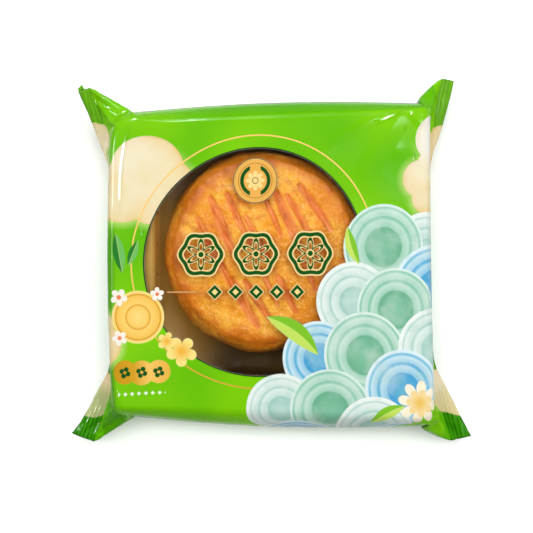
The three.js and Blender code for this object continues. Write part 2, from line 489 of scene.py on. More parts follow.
class Motif(Enum):
    """The shader node groups: the numbers that go in, those that come out, and what is inside."""

    MOTTLE = ("Scale Detail Low High", "Mask", MotifBody.mottle)
    ROSETTE = ("Radius Petals", "Mask Edge", MotifBody.rosette)
    BLOSSOM = ("Radius Petals Turn", "Mask Share", MotifBody.blossom)
    FOLD = ("Turn Length Width Bend", "Height", MotifBody.fold)
    LEAF = ("Turn Length Width Bend", "Mask Upper Vein", MotifBody.leaf)

    def group(self) -> bpy.types.NodeTree:
        """The node group, built when it is first asked for."""
        name = self.name.lower()
        if name in bpy.data.node_groups:
            return bpy.data.node_groups[name]
        tree = bpy.data.node_groups.new(name, "ShaderNodeTree")
        tree.interface.new_socket("Point", in_out="INPUT", socket_type="NodeSocketVector")
        *sockets, body = self.value
        for direction, keys in zip(("INPUT", "OUTPUT"), sockets):
            for key in keys.split():
                tree.interface.new_socket(key, in_out=direction, socket_type="NodeSocketFloat")
        graph, source = Graph(tree), tree.nodes.new("NodeGroupInput")
        given = {socket.name: Field(graph, socket) for socket in source.outputs if socket.name}
        graph.node("NodeGroupOutput", body(MotifBody(graph, given)))
        return tree


def new_material(name: str) -> tuple[bpy.types.Material, Graph, bpy.types.Node]:
    """An empty material.

    Args:
        name: its name.

    Returns:
        The material, its graph and its one Principled shader.
    """
    material = bpy.data.materials.new(name)
    material.use_nodes = True
    return material, Graph(material.node_tree), material.node_tree.nodes["Principled BSDF"]


# ---- The printed film --------------------


class Palette(Enum):
    """The ring colours of a fan, as stops from its rim to its heart."""

    JADE = (
        (0.0, 222, 240, 231), (0.05, 216, 237, 226), (0.07, 140, 199, 172), (0.11, 164, 213, 190),
        (0.14, 198, 228, 212), (0.27, 176, 216, 196), (0.29, 132, 194, 166), (0.34, 156, 208, 182),
        (0.37, 192, 225, 208), (0.52, 160, 208, 184), (0.55, 108, 178, 142), (1.0, 134, 194, 160),
    )
    WATER = (
        (0.0, 226, 241, 244), (0.07, 214, 235, 242), (0.1, 112, 186, 220), (0.14, 144, 204, 226),
        (0.17, 200, 228, 238), (0.3, 162, 208, 230), (0.33, 84, 172, 216), (0.38, 120, 190, 222),
        (0.41, 186, 220, 234), (0.56, 142, 198, 224), (0.59, 70, 162, 212), (1.0, 104, 180, 216),
    )
    FOAM = (
        (0.0, 242, 247, 242), (0.1, 232, 242, 236), (0.12, 178, 214, 204), (0.15, 208, 230, 222),
        (0.18, 230, 241, 235), (0.33, 206, 228, 219), (0.36, 166, 207, 196), (0.4, 198, 226, 216),
        (0.43, 222, 238, 231), (0.6, 198, 224, 214), (0.63, 156, 202, 190), (1.0, 190, 220, 210),
    )


Lobe = tuple[float, float, float]  # a round part of a shape: its centre and its radius


@dataclass(frozen=True)
class Fan:
    """One disc of the overlapping wave fans: a traditional pattern of concentric rings."""

    centre: Plan
    radius: float
    palette: Palette


@dataclass(frozen=True)
class Fold:
    """A fold that is too crisp for the film's mesh, along a bent line on the flat film.

    Attributes:
        centre: the middle of its line.
        turn: the way that its line runs.
        length: how long it is.
        width: how wide its flank is on either side.
        height: how far it stands out of the film, or into it where negative.
        bend: how fast the line curves.
    """

    centre: Plan
    turn: float
    length: float
    width: float
    height: float
    bend: float = 0.0


@dataclass
class Layers:
    """The print so far, on the flat film's own UV map, in the film's material.

    Attributes:
        material: the film's material, whose tree the print is written in.
        point: where each place of the surface lies on the flat film, in millimetres.
        along: how far that is along the film from its middle.
        across: how far across it from the middle of the window face.
        colour: the colour that is printed there.
        clear: 1 where the film is still clear.
    """

    material: bpy.types.Material = field(init=False)
    graph: Graph = field(init=False)
    shader: bpy.types.Node = field(init=False)
    point: Field = field(init=False)
    along: Field = field(init=False)
    across: Field = field(init=False)
    colour: Field = field(init=False)
    clear: Field = field(init=False)

    def __post_init__(self) -> None:
        """Starts the material and reads the UV map."""
        self.material, self.graph, self.shader = new_material("printed_film")
        uv = self.graph.read("ShaderNodeUVMap", {}, uv_map="film")
        self.point = self.graph.vector("MULTIPLY", uv, (FILM_UNIT, FILM_UNIT, 0.0))
        self.along, self.across, _ = self.graph.parts(self.point)

    def tint(self, colour: Value, mask: Field) -> None:
        """Prints a colour over what is there, and leaves the film as clear as it is."""
        self.colour = self.graph.mix(self.colour, colour, mask)

    def lay(self, colour: Value, mask: Field) -> None:
        """Prints an opaque colour over what is there."""
        self.tint(colour, mask)
        self.clear = self.clear * (1.0 - mask)

    def away(self, centre: Plan) -> Field:
        """How far each place is from a centre."""
        return self.graph.vector("DISTANCE", self.point, (*centre, 0.0))

    def seen_from(self, centre: Plan) -> Field:
        """Each place as seen from a centre."""
        return self.graph.vector("SUBTRACT", self.point, (*centre, 0.0))

    def union(self, lobes: tuple[Lobe, ...]) -> Field:
        """How far each place is outside a cloud of round lobes."""
        parts = [self.away((x, y)) - radius for x, y, radius in lobes]
        return reduce(lambda nearer, other: self.graph.math("MINIMUM", nearer, other), parts)

    def wash(self, scale: float, low: float, high: float) -> Field:
        """Uneven patches where the ink pooled, as in a watercolour."""
        return self.graph.patches(self.point, scale, 4.0, low, high)

    def line(self, away: Field, radius: float, half_width: float) -> Field:
        """A mask for a line where a field has the value of a radius."""
        return self.graph.inside(abs(away - radius) - half_width)

    def motif(self, motif: Motif, centre: Plan, **sizes: float) -> dict[str, Field]:
        """A motif placed at a centre on the flat film."""
        return self.graph.placed(motif, {"Point": self.seen_from(centre)} | sizes)

    def flower(self, centre: Plan, radius: float, petals: float, turn: float) -> tuple[Field, Field]:
        """The mask of a blossom, and how far out each place lies as a share of its radius."""
        made = self.motif(Motif.BLOSSOM, centre, Radius=radius, Petals=petals, Turn=turn)
        return made["Mask"], made["Share"]


@dataclass(frozen=True)
class FilmInks:
    """The film's finish: glossy inks on clear film."""

    green: Colour = ink(124, 204, 9)
    deep_green: Colour = ink(97, 188, 8)
    edge_green: Colour = ink(20, 52, 14)
    dark_green: Colour = ink(22, 84, 30)
    # painted shade for the band along the back edge of the face
    back_band_shade_green: Colour = ink(84, 174, 4)
    # the sealed ends' deeper green: partly their two layers of film, partly painted shade
    seal_green: Colour = ink(50, 148, 5)
    # painted light: the sealed ends are paler towards the back, where the back ears face the light
    lit_seal_green: Colour = ink(110, 178, 32)
    # painted shade in the grooves of the crimps
    crimp_shade_green: Colour = ink(18, 92, 4)
    # painted shade for the strip down the left edge of the face
    left_edge_shade_green: Colour = ink(58, 148, 5)
    gold: Colour = ink(255, 204, 112)
    deep_gold: Colour = ink(222, 160, 62)
    pale_gold: Colour = ink(253, 218, 142)
    roughness: float = 0.14
    specular: float = 0.2
    film_index: float = 1.45  # of refraction, for how much of the light the clear film mirrors
    film_mirror: float = 0.7
    film_haze: float = 0.004
    ripple: float = 0.3  # height of the broad waves in the film


@dataclass
class PrintedFilm(Layers):
    """The film's print, a layer at a time, with places and sizes in millimetres on the flat film."""

    inks: FilmInks = FilmInks()
    window: Plan = (-5.13, 0.69)
    window_radius: float = 33.3
    window_edge: float = 0.42
    ring_radius: float = 37.2
    ring_width: float = 0.42
    ornament_row: float = 3.1
    gem_row: Plan = (-5.1, -8.0)
    gem_pitch: float = 3.1  # half of the way from gem to gem
    seal_centre: Plan = (-5.3, 24.6)
    moon_centre: Plan = (-40.3, -15.4)
    moon_radius: float = 7.8
    flap: float = 61.0  # how far round the film the artwork runs, from the middle of the face
    seal_starts: float = 57.4  # along the film from its middle
    ends_start: float = 54.9
    cloud_stops: Stops = (
        (0.0, 226, 188, 118), (0.025, 231, 199, 134), (0.09, 234, 211, 156),
        (0.3, 238, 221, 174), (0.6, 239, 225, 182), (1.0, 235, 219, 170),
    )
    moon_stops: Stops = (
        (0.0, 252, 226, 140), (0.1, 250, 214, 116), (0.13, 214, 142, 30), (0.19, 246, 196, 88),
        (0.5, 250, 210, 112), (0.53, 226, 158, 48), (0.6, 248, 204, 100), (1.0, 252, 222, 134),
    )
    plaque_stops: Stops = (
        (0.0, 196, 146, 16), (0.36, 212, 160, 34), (0.62, 246, 198, 98), (1.0, 230, 176, 62),
    )
    clouds_at: tuple[tuple[Lobe, ...], ...] = (
        (
            (-37.8, 27.6, 11.2), (-32.2, 23.2, 8.8), (-37.0, 18.8, 6.6), (-45.2, 21.8, 9.2),
            (-54.0, 20.0, 8.0),
        ),
        ((50.2, 35.8, 7.0), (45.2, 24.2, 5.4), (51.0, 27.0, 7.2), (47.4, 18.6, 4.6)),
        ((-51.6, -23.6, 6.2), (-50.6, -17.6, 3.0)),
    )
    ear_clouds: tuple[Lobe, ...] = (
        (-61.0, 37.8, 6.0), (-61.6, 31.0, 6.6), (-60.8, 24.0, 6.0), (61.4, 34.8, 6.5),
        (60.0, 26.0, 5.6), (-62.4, -42.0, 6.4), (-60.4, -37.5, 5.6), (60.0, -39.4, 6.8),
        (63.0, -42.8, 5.2), (55.8, -37.6, 6.0),
    )
    green_corner: tuple[Lobe, ...] = ((49.8, -51.4, 9.9), (42.6, -57.0, 9.4))
    plaque: tuple[Lobe, ...] = ((-44.2, -31.6, 3.5), (-39.2, -31.9, 3.7), (-34.2, -31.6, 3.5))
    folds: tuple[Fold, ...] = (
        Fold((-45.4, 29.1), -1.66, 29.0, 0.7, 0.33, -0.006),
        Fold((36.6, 42.7), 0.4, 11.0, 0.65, 0.265),
        Fold((31.6, 41.6), 0.1, 2.4, 0.5, 0.2),
        Fold((43.4, 41.2), -0.74, 6.0, 1.6, 0.34),
        Fold((40.0, 38.9), -1.71, 2.4, 0.4, 0.21),
        Fold((43.1, 30.5), -1.71, 3.0, 0.4, 0.21),
        Fold((32.6, 33.3), 1.02, 24.0, 4.0, 0.4),
        Fold((24.3, 38.4), 0.45, 16.0, 2.2, 0.2, -0.01),
        Fold((44.5, 9.9), -1.57, 16.0, 0.6, 0.1),
        Fold((46.1, 9.4), -1.57, 28.0, 0.6, -0.1),
        Fold((47.7, 7.4), -1.57, 32.0, 0.6, 0.1),
        Fold((-47.6, -40.4), -2.0, 8.5, 0.4, 0.2, 0.02),
        Fold((-39.2, 9.6), -1.5, 3.4, 0.4, 0.18),
    )
    fans: tuple[Fan, ...] = (
        Fan((47.8, 2.0), 12.6, Palette.FOAM),
        Fan((34.0, 4.6), 12.4, Palette.JADE),
        Fan((50.0, -8.0), 13.0, Palette.WATER),
        Fan((24.5, -11.0), 11.5, Palette.FOAM),
        Fan((37.5, -13.5), 12.0, Palette.JADE),
        Fan((13.5, -27.5), 11.0, Palette.WATER),
        Fan((27.5, -26.5), 12.5, Palette.JADE),
        Fan((49.4, -25.4), 11.8, Palette.FOAM),
        Fan((2.0, -42.5), 10.5, Palette.FOAM),
        Fan((38.5, -36.5), 11.5, Palette.WATER),
        Fan((16.5, -42.5), 12.0, Palette.JADE),
        Fan((29.5, -50.0), 11.5, Palette.FOAM),
        Fan((7.0, -57.5), 11.0, Palette.WATER),
        Fan((38.0, -57.6), 10.5, Palette.WATER),
    )

    def ground(self) -> Field:
        """The green ground, whose tone drifts in broad soft sheets, with painted shade in a darker band
        along the back edge and in a darker strip down the left edge.
        """
        graph, along, across = self.graph, self.along, self.across
        drift = graph.patches(self.point, 0.028, 1.0, 0.4, 0.62)
        # painted shade: the band where the film turns down at the back edge is printed darker green
        back_band_shade = graph.rise(across - along * 0.02, 43.6, 44.2) * graph.rise(along, -46.0, -10.0)
        face = graph.mix(self.inks.green, self.inks.deep_green, drift)
        face = graph.mix(face, self.inks.back_band_shade_green, back_band_shade * 0.62)
        # painted shade: the left edge is printed darker green, as if it turned away from the light
        shaded = graph.rise(along, -46.4, -48.6, smooth=True) * graph.rise(across, 14.0, 8.0, smooth=True)
        return graph.mix(face, self.inks.left_edge_shade_green, shaded * 0.7)

    def cloud_shade(self, off: Field) -> Field:
        """The colour of a cloud: cream, warmer at its rim and where the ink pooled.

        Args:
            off: how far each place is outside the cloud.

        Returns:
            The colour.
        """
        graph = self.graph
        shade = graph.ramp(off * -0.105, self.cloud_stops)
        shade = graph.mix(shade, ink(238, 207, 146), self.wash(0.085, 0.42, 0.66) * 0.5)
        return graph.mix(shade, ink(243, 236, 212), self.wash(0.05, 0.44, 0.6) * 0.5)

    def clouds(self) -> None:
        """Soft cream clouds in the upper corners and low down, the right one nearly white at its top."""
        graph, along, across = self.graph, self.along, self.across
        white = graph.rise(along, 41.0, 47.0) * graph.rise(across, 27.0, 33.0, smooth=True)
        for lobes in self.clouds_at:
            off = self.union(lobes)
            glow = graph.rise(off, 2.6, -0.4, smooth=True) * graph.rise(across, 36.0, 26.0) * 0.6
            self.tint(ink(206, 228, 132), glow)
            shade = graph.mix(self.cloud_shade(off), ink(240, 239, 230), white * 0.85)
            self.tint(shade, graph.inside(off))

    def rings(self) -> None:
        """The window's dark edge and the gold ring round it."""
        graph, away = self.graph, self.away(self.window)
        gold = graph.mix(self.inks.deep_gold, self.inks.gold, graph.rise(self.across, -30.0, 0.0))
        self.tint(gold, self.line(away, self.ring_radius, self.ring_width / 2))
        self.tint(self.inks.edge_green, graph.inside(away - (self.window_radius + self.window_edge)))

    def medallion(self) -> None:
        """A small gold seal: thin rings, two dark crescents and a blossom."""
        graph, away = self.graph, self.away(self.seal_centre)
        self.lay(ink(236, 178, 84), graph.inside(away - 6.5))
        self.lay(self.inks.dark_green, self.line(away, 6.55, 0.11))
        self.lay(ink(150, 104, 34), self.line(away, 5.1, 0.08))
        gap = abs(self.along - self.seal_centre[0])
        self.lay(self.inks.dark_green, self.line(away, 4.05, 0.55) * graph.rise(gap, 1.5, 1.7))
        self.lay(self.inks.pale_gold, self.flower(self.seal_centre, 2.9, 8.0, 0.0)[0])
        self.lay(ink(120, 84, 30), self.line(away, 0.85, 0.12))

    def ornaments(self) -> None:
        """The dark-green and gold ornaments over the window: rosettes, a row of gems and two bars."""
        graph = self.graph
        for x in (-21.6, -5.1, 11.4):
            made = self.motif(Motif.ROSETTE, (x, self.ornament_row), Radius=6.7, Petals=6.0)
            self.lay(self.inks.pale_gold, made["Edge"])
            self.lay(self.inks.dark_green, made["Mask"])
        along, across, _ = graph.parts(self.seen_from(self.gem_row))
        gem = graph.math("PINGPONG", along, self.gem_pitch) + abs(across)
        row = graph.rise(abs(along), 15.4, 15.3)
        self.lay(self.inks.pale_gold, graph.inside(gem - 2.5) * row)
        self.lay(self.inks.dark_green, self.line(gem, 1.55, 0.6) * row)
        bars = self.line(across, 0.0, 0.2) * self.line(abs(along), 22.2, 4.4)
        self.lay(self.inks.deep_gold, bars)

    def waves(self) -> None:
        """Overlapping fans of water at the lower right, washed unevenly, the front ones printed last."""
        graph = self.graph
        pale, deep = self.wash(0.11, 0.46, 0.66), self.wash(0.2, 0.5, 0.7)
        for fan in self.fans:
            off = self.away(fan.centre) - fan.radius
            shade = graph.ramp(off * (-1.0 / fan.radius), fan.palette.value)
            shade = graph.mix(shade, ink(222, 236, 228), pale * 0.35)
            self.lay(graph.mix(shade, ink(118, 190, 172), deep * 0.25), graph.inside(off))

    def moon(self) -> None:
        """A golden moon over the low cloud, with three white blossoms round it."""
        graph, radius = self.graph, self.moon_radius
        away = self.away(self.moon_centre)
        shade = graph.ramp((radius - away) * (1 / radius), self.moon_stops)
        self.lay(shade, graph.inside(away - radius))
        for centre, size, turn in (
            ((-46.0, -9.6), 2.6, 0.2), ((-34.6, -8.6), 2.1, 0.9), ((-45.8, -21.6), 2.3, 0.5),
        ):
            petals, share = self.flower(centre, size, 5.0, turn)
            self.lay(ink(247, 240, 228), petals)
            self.lay(ink(238, 130, 84), graph.rise(share, 0.3, 0.24))

    def low_plaque(self) -> None:
        """A plain gold plaque with dark petals, a row of beads under it and two gold blossoms."""
        graph = self.graph
        sheen = graph.ramp(graph.rise(self.along, -48.0, -30.0), self.plaque_stops)
        self.lay(sheen, graph.inside(self.union(self.plaque)))
        for x, _, _ in self.plaque:
            petals, share = self.flower((x, -31.7), 1.7, 4.0, 0.4)
            self.lay(self.inks.dark_green, petals * graph.rise(share, 0.26, 0.3))
        bead = graph.math("PINGPONG", self.along, 1.0) + abs(self.across + 38.0)
        row = graph.rise(abs(self.along + 39.2), 7.0, 6.9)
        self.lay(ink(236, 240, 214), graph.inside(bead - 0.62) * row)
        for centre, radius, turn in (((-27.4, -25.6), 4.6, 0.35), ((-31.8, -22.6), 2.8, 0.0)):
            petals, share = self.flower(centre, radius, 5.0, turn)
            heart = graph.mix(ink(244, 182, 64), ink(249, 226, 134), graph.rise(share, 0.1, 0.75))
            self.lay(heart, petals)

    def ends(self) -> None:
        """The green ends, painted lighter at the back as if lit, with cream clouds at the ears and a
        painted shadow on the front-left one. The sealed ends are deeper green, partly for their two
        layers and partly as painted shade, streaked with painted shade along the crimps.
        """
        graph, along, across = self.graph, self.along, self.across
        self.lay(self.inks.green, graph.inside(self.union(self.green_corner)))
        # painted light: the ends are lighter green at the back and deeper green at the front
        green = graph.mix(self.inks.deep_green, self.inks.green, graph.rise(across, -5.0, 5.0))
        self.lay(green, graph.inside(self.ends_start - abs(along)))
        crimp = graph.math("SINE", abs(along) * (math.tau / CRIMP_PITCH)) * 0.5 + 0.5
        # painted shade streaks the seal along each crimp, and painted light makes it paler towards the
        # back
        low = graph.rise(across, 36.0, -30.0)
        seal = graph.mix(self.inks.lit_seal_green, self.inks.seal_green, low)
        crimp_shade = crimp * self.wash(0.3, 0.3, 0.5) * (low * 0.6 + 0.4)
        seal_with_crimp_shade = graph.mix(seal, self.inks.crimp_shade_green, crimp_shade)
        self.lay(seal_with_crimp_shade, graph.inside(self.seal_starts - abs(along), 0.25) * 0.85)
        off = self.union(self.ear_clouds) + self.wash(0.5, 0.3, 0.7) * 0.6
        # painted shadow: the front-left ear's cream is greyed towards green; the front-right ear's front
        # is only a warmer cream
        shadow = graph.mix(ink(150, 176, 98), ink(214, 202, 146), graph.rise(along, -1.0, 1.0))
        shade = graph.mix(self.cloud_shade(off), shadow, graph.rise(across, -36.0, -40.0) * 0.7)
        self.lay(shade, graph.inside(off))

    def leaves(self) -> None:
        """A few pointed leaves and a pale water blossom."""
        graph = self.graph
        bright = (ink(196, 226, 96), ink(128, 196, 44))
        dark = (ink(112, 188, 96), ink(40, 124, 44))
        for centre, turn, length, width, bend, tones in (
            ((6.5, -19.5), -0.62, 19.0, 5.6, 0.018, bright),
            ((24.0, 5.0), -1.25, 11.5, 3.3, -0.02, bright),
            ((33.0, -43.5), 0.5, 12.0, 3.6, 0.02, bright),
            ((-46.0, 3.5), 1.75, 12.0, 3.4, 0.0, dark),
            ((-41.8, 3.6), 1.2, 8.0, 2.6, 0.0, dark),
        ):
            made = self.motif(Motif.LEAF, centre, Turn=turn, Length=length, Width=width, Bend=bend)
            shade = graph.mix(*tones, made["Upper"])
            self.lay(graph.mix(shade, ink(226, 238, 150), made["Vein"] * 0.5), made["Mask"])
        for count, radius, turn, pale in (
            (8.0, 6.4, 0.2, ink(250, 240, 214)), (7.0, 4.0, 0.6, ink(244, 216, 150)),
        ):
            petals, share = self.flower((43.0, -40.5), radius, count, turn)
            self.lay(graph.mix(ink(240, 196, 96), pale, graph.rise(share, 0.15, 0.6)), petals)

    def relief(self) -> Field:
        """The height of the film's broad waves and of its crisp folds, in millimetres."""
        height = self.graph.noise(self.point, 0.07) * self.inks.ripple
        for made in self.folds:
            lines = {"Turn": made.turn, "Length": made.length, "Width": made.width, "Bend": made.bend}
            height = height + self.motif(Motif.FOLD, made.centre, **lines)["Height"] * made.height
        return height

    def make(self) -> bpy.types.Material:
        """Prints every layer in order and finishes the material of the whole film."""
        graph, inks = self.graph, self.inks
        self.clear = graph.inside(self.away(self.window) - self.window_radius)
        self.colour = ground = self.ground()
        for part in (
            self.clouds, self.rings, self.medallion, self.ornaments, self.waves, self.moon,
            self.low_plaque, self.ends, self.leaves,
        ):
            part()
        face = graph.rise(abs(self.across), self.flap + 0.5, self.flap)
        printed = graph.mix(ground, self.colour, face)
        mirror = graph.read("ShaderNodeFresnel", {"IOR": inks.film_index})
        graph.feed(self.shader, {
            "Base Color": graph.mix(printed, (1.0, 1.0, 1.0), self.clear),
            "Metallic": self.clear,
            "Alpha": graph.blend(1.0, mirror * inks.film_mirror + inks.film_haze, self.clear),
            "Roughness": inks.roughness,
            "Specular IOR Level": inks.specular,
            "Normal": graph.bump(self.relief(), MM),
        })
        return self.material




# ---- The pack's form --------------------


@dataclass(frozen=True)
class Corner:
    """One corner of the pack, in plan and at its ear.

    Attributes:
        body: the corner of the body in plan.
        rounding: how much of the end and of the side the rounded corner takes.
        fullness: how far the wall from here to the next corner stands out in its middle.
        seal_leaves: the Y where the seal leaves the end wall.
        root_tip: the end of the seal's root, at the tip of the ear.
        cut_tip: the end of the seal's cut edge.
    """

    body: Plan
    rounding: Plan
    fullness: float
    seal_leaves: float
    root_tip: Point
    cut_tip: Point


BACK_RIGHT = Corner((47.4, 47.3), (3.0, 4.0), 1.7, 36.5, (51.6, 55.0, 7.0), (52.1, 54.8, 7.2))
BACK_LEFT = Corner((-48.6, 44.1), (12.0, 6.0), 0.9, 36.5, (-55.2, 52.1, 11.5), (-57.0, 52.8, 11.8))
FRONT_LEFT = Corner((-47.7, -46.2), (3.0, 4.0), 1.9, -36.0, (-54.0, -54.6, 6.6), (-60.2, -51.9, 5.8))
FRONT_RIGHT = Corner((48.9, -49.5), (5.0, 3.0), -0.5, -36.5, (54.5, -54.2, 6.6), (60.2, -53.0, 5.8))
CORNERS = (BACK_RIGHT, BACK_LEFT, FRONT_LEFT, FRONT_RIGHT)
LEFT_END, RIGHT_END = (FRONT_LEFT, BACK_LEFT), (FRONT_RIGHT, BACK_RIGHT)


@dataclass
class BodyForm:
    """The cushion-shaped body that the film lies on, as a distance to its surface."""

    crown: float = 22.0
    face_edge: float = 20.6
    face_reach: float = 49.0
    side_widest: float = 10.0
    end_widest: float = 17.0
    end_rounding: float = 1.8
    side_rounding: float = 5.4
    end_foot: float = 6.0
    side_foot: float = 7.5
    blend_sharpness: float = 8.0
    angles: Array = field(init=False)
    radii: Array = field(init=False)

    def __post_init__(self) -> None:
        """Works the plan outline out once, as a radius for each direction from the middle."""
        stretches = []
        for i, corner in enumerate(CORNERS):
            here = np.array(corner.body)
            after = CORNERS[(i + 1) % len(CORNERS)]
            ahead = np.array(after.body)
            behind = np.array(CORNERS[i - 1].body)
            run = np.linalg.norm(ahead - here)
            onwards, backwards = (1, 0) if i % 2 == 0 else (0, 1)
            start = here + (ahead - here) * corner.rounding[onwards] / run
            end = ahead + (here - ahead) * after.rounding[onwards] / run
            back = corner.rounding[backwards] / np.linalg.norm(behind - here)
            turn = here + (behind - here) * back
            outwards = np.array([ahead[1] - here[1], here[0] - ahead[0]]) / run
            middle = (start + end) / 2 + 2 * corner.fullness * outwards
            stretches += [bezier(turn, here, start, 24)[:-1], bezier(start, middle, end, 96)[:-1]]
        outline = np.concatenate(stretches)
        angle = np.arctan2(outline[:, 1], outline[:, 0])
        order = np.argsort(angle)
        self.angles, self.radii = angle[order], np.linalg.norm(outline, axis=1)[order]

    def distance(self, points: Array) -> tuple[Array, Array]:
        """How far points are outside the body, and which way is out.

        Args:
            points: the points, in an array whose last axis is X, Y, Z.

        Returns:
            The distances, negative inside, and the unit directions.
        """
        x, y, z = points[..., 0], points[..., 1], points[..., 2]
        plan = np.hypot(x, y) + 1e-9
        radius = np.interp(np.arctan2(y, x), self.angles, self.radii, period=math.tau)
        along_x = np.abs(x) ** self.blend_sharpness
        along_y = np.abs(y) ** self.blend_sharpness
        end_share = along_x / (along_x + along_y + 1e-9)
        widest = self.side_widest + (self.end_widest - self.side_widest) * end_share
        above = z >= widest
        on_side = np.where(above, self.side_rounding, self.side_foot)
        on_end = np.where(above, self.end_rounding, self.end_foot)
        rounding = on_side + (on_end - on_side) * end_share
        inner = radius - rounding
        fall = (1.0 - (x / self.face_reach) ** 2) * (1.0 - (y / self.face_reach) ** 2)
        top = self.face_edge + (self.crown - self.face_edge) * np.clip(fall, 0.0, 1.0)
        height = np.where(above, top - widest, widest)
        over = np.maximum(plan - inner, 0.0) / rounding
        rise = (z - widest) / height
        level = np.hypot(over, rise) + 1e-9
        slope_plan = over / (rounding * level)
        slope_z = rise / (height * level)
        steepness = np.hypot(slope_plan, slope_z) + 1e-9
        out = np.stack([slope_plan * x / plan, slope_plan * y / plan, slope_z], axis=-1)
        return (level - 1.0) / steepness, out / steepness[..., None]

    def section(self, x: float, columns: int) -> Array:
        """The body's outline across the pack at one X, seen along X.

        Args:
            x: where along the pack.
            columns: how many points, half of them over the top.

        Returns:
            The points from the front edge over the top to the back edge and under to the front.
        """
        turns = np.linspace(math.pi, -math.pi, 361)
        ray = np.stack([np.zeros_like(turns), np.cos(turns), np.sin(turns)], axis=1)
        start = np.array([x, 0.0, self.side_widest])
        low, high = np.zeros(len(turns)), np.full(len(turns), 80.0)
        for _ in range(28):
            middle = (low + high) / 2
            inside = self.distance(start + ray * middle[:, None])[0] < 0
            low, high = np.where(inside, middle, low), np.where(inside, high, middle)
        ring = start + ray * low[:, None]
        half = len(turns) // 2
        over = evenly(ring[: half + 1], columns // 2 + 1)
        under = evenly(ring[half:], columns // 2 + 1)
        return np.concatenate([over[:-1], under[:-1]])


@dataclass
class Links:
    """Pairs of film points that keep their distance, in groups whose pairs share no point."""

    rest: float
    pull: float
    push: float
    groups: list[tuple[Array, Array]]

    @staticmethod
    def between(
        rows: int, columns: int, step: tuple[int, int], rest: float, pull: float, push: float
    ) -> Links:
        """The links from each film point to the one that lies step rows and columns on.

        Args:
            rows: rows of the film's grid.
            columns: its columns, which close into a tube.
            step: rows and columns from one end of a link to the other.
            rest: the flat distance between the two.
            pull: share of a stretch that one pass takes away.
            push: share of a shortening that one pass takes away.

        Returns:
            The links.
        """
        down, round_ = step
        row, column = np.meshgrid(np.arange(rows - down), np.arange(columns), indexing="ij")
        first = row * columns + column
        second = (row + down) * columns + (column + round_) % columns
        parity = (row // down if down else column // round_) % 2
        groups = [(first[parity == k], second[parity == k]) for k in (0, 1)]
        return Links(rest, pull, push, groups)

    def hold(self, points: Array) -> None:
        """Moves both ends of every link towards its rest length.

        Args:
            points: the film's points, one a row, which are moved in place.
        """
        for first, second in self.groups:
            gap = points[second] - points[first]
            length = np.sqrt((gap * gap).sum(axis=1)) + 1e-9
            excess = (length - self.rest) / length
            move = gap * (np.where(excess > 0, self.pull, self.push) * excess * 0.5)[:, None]
            points[first] += move
            points[second] -= move


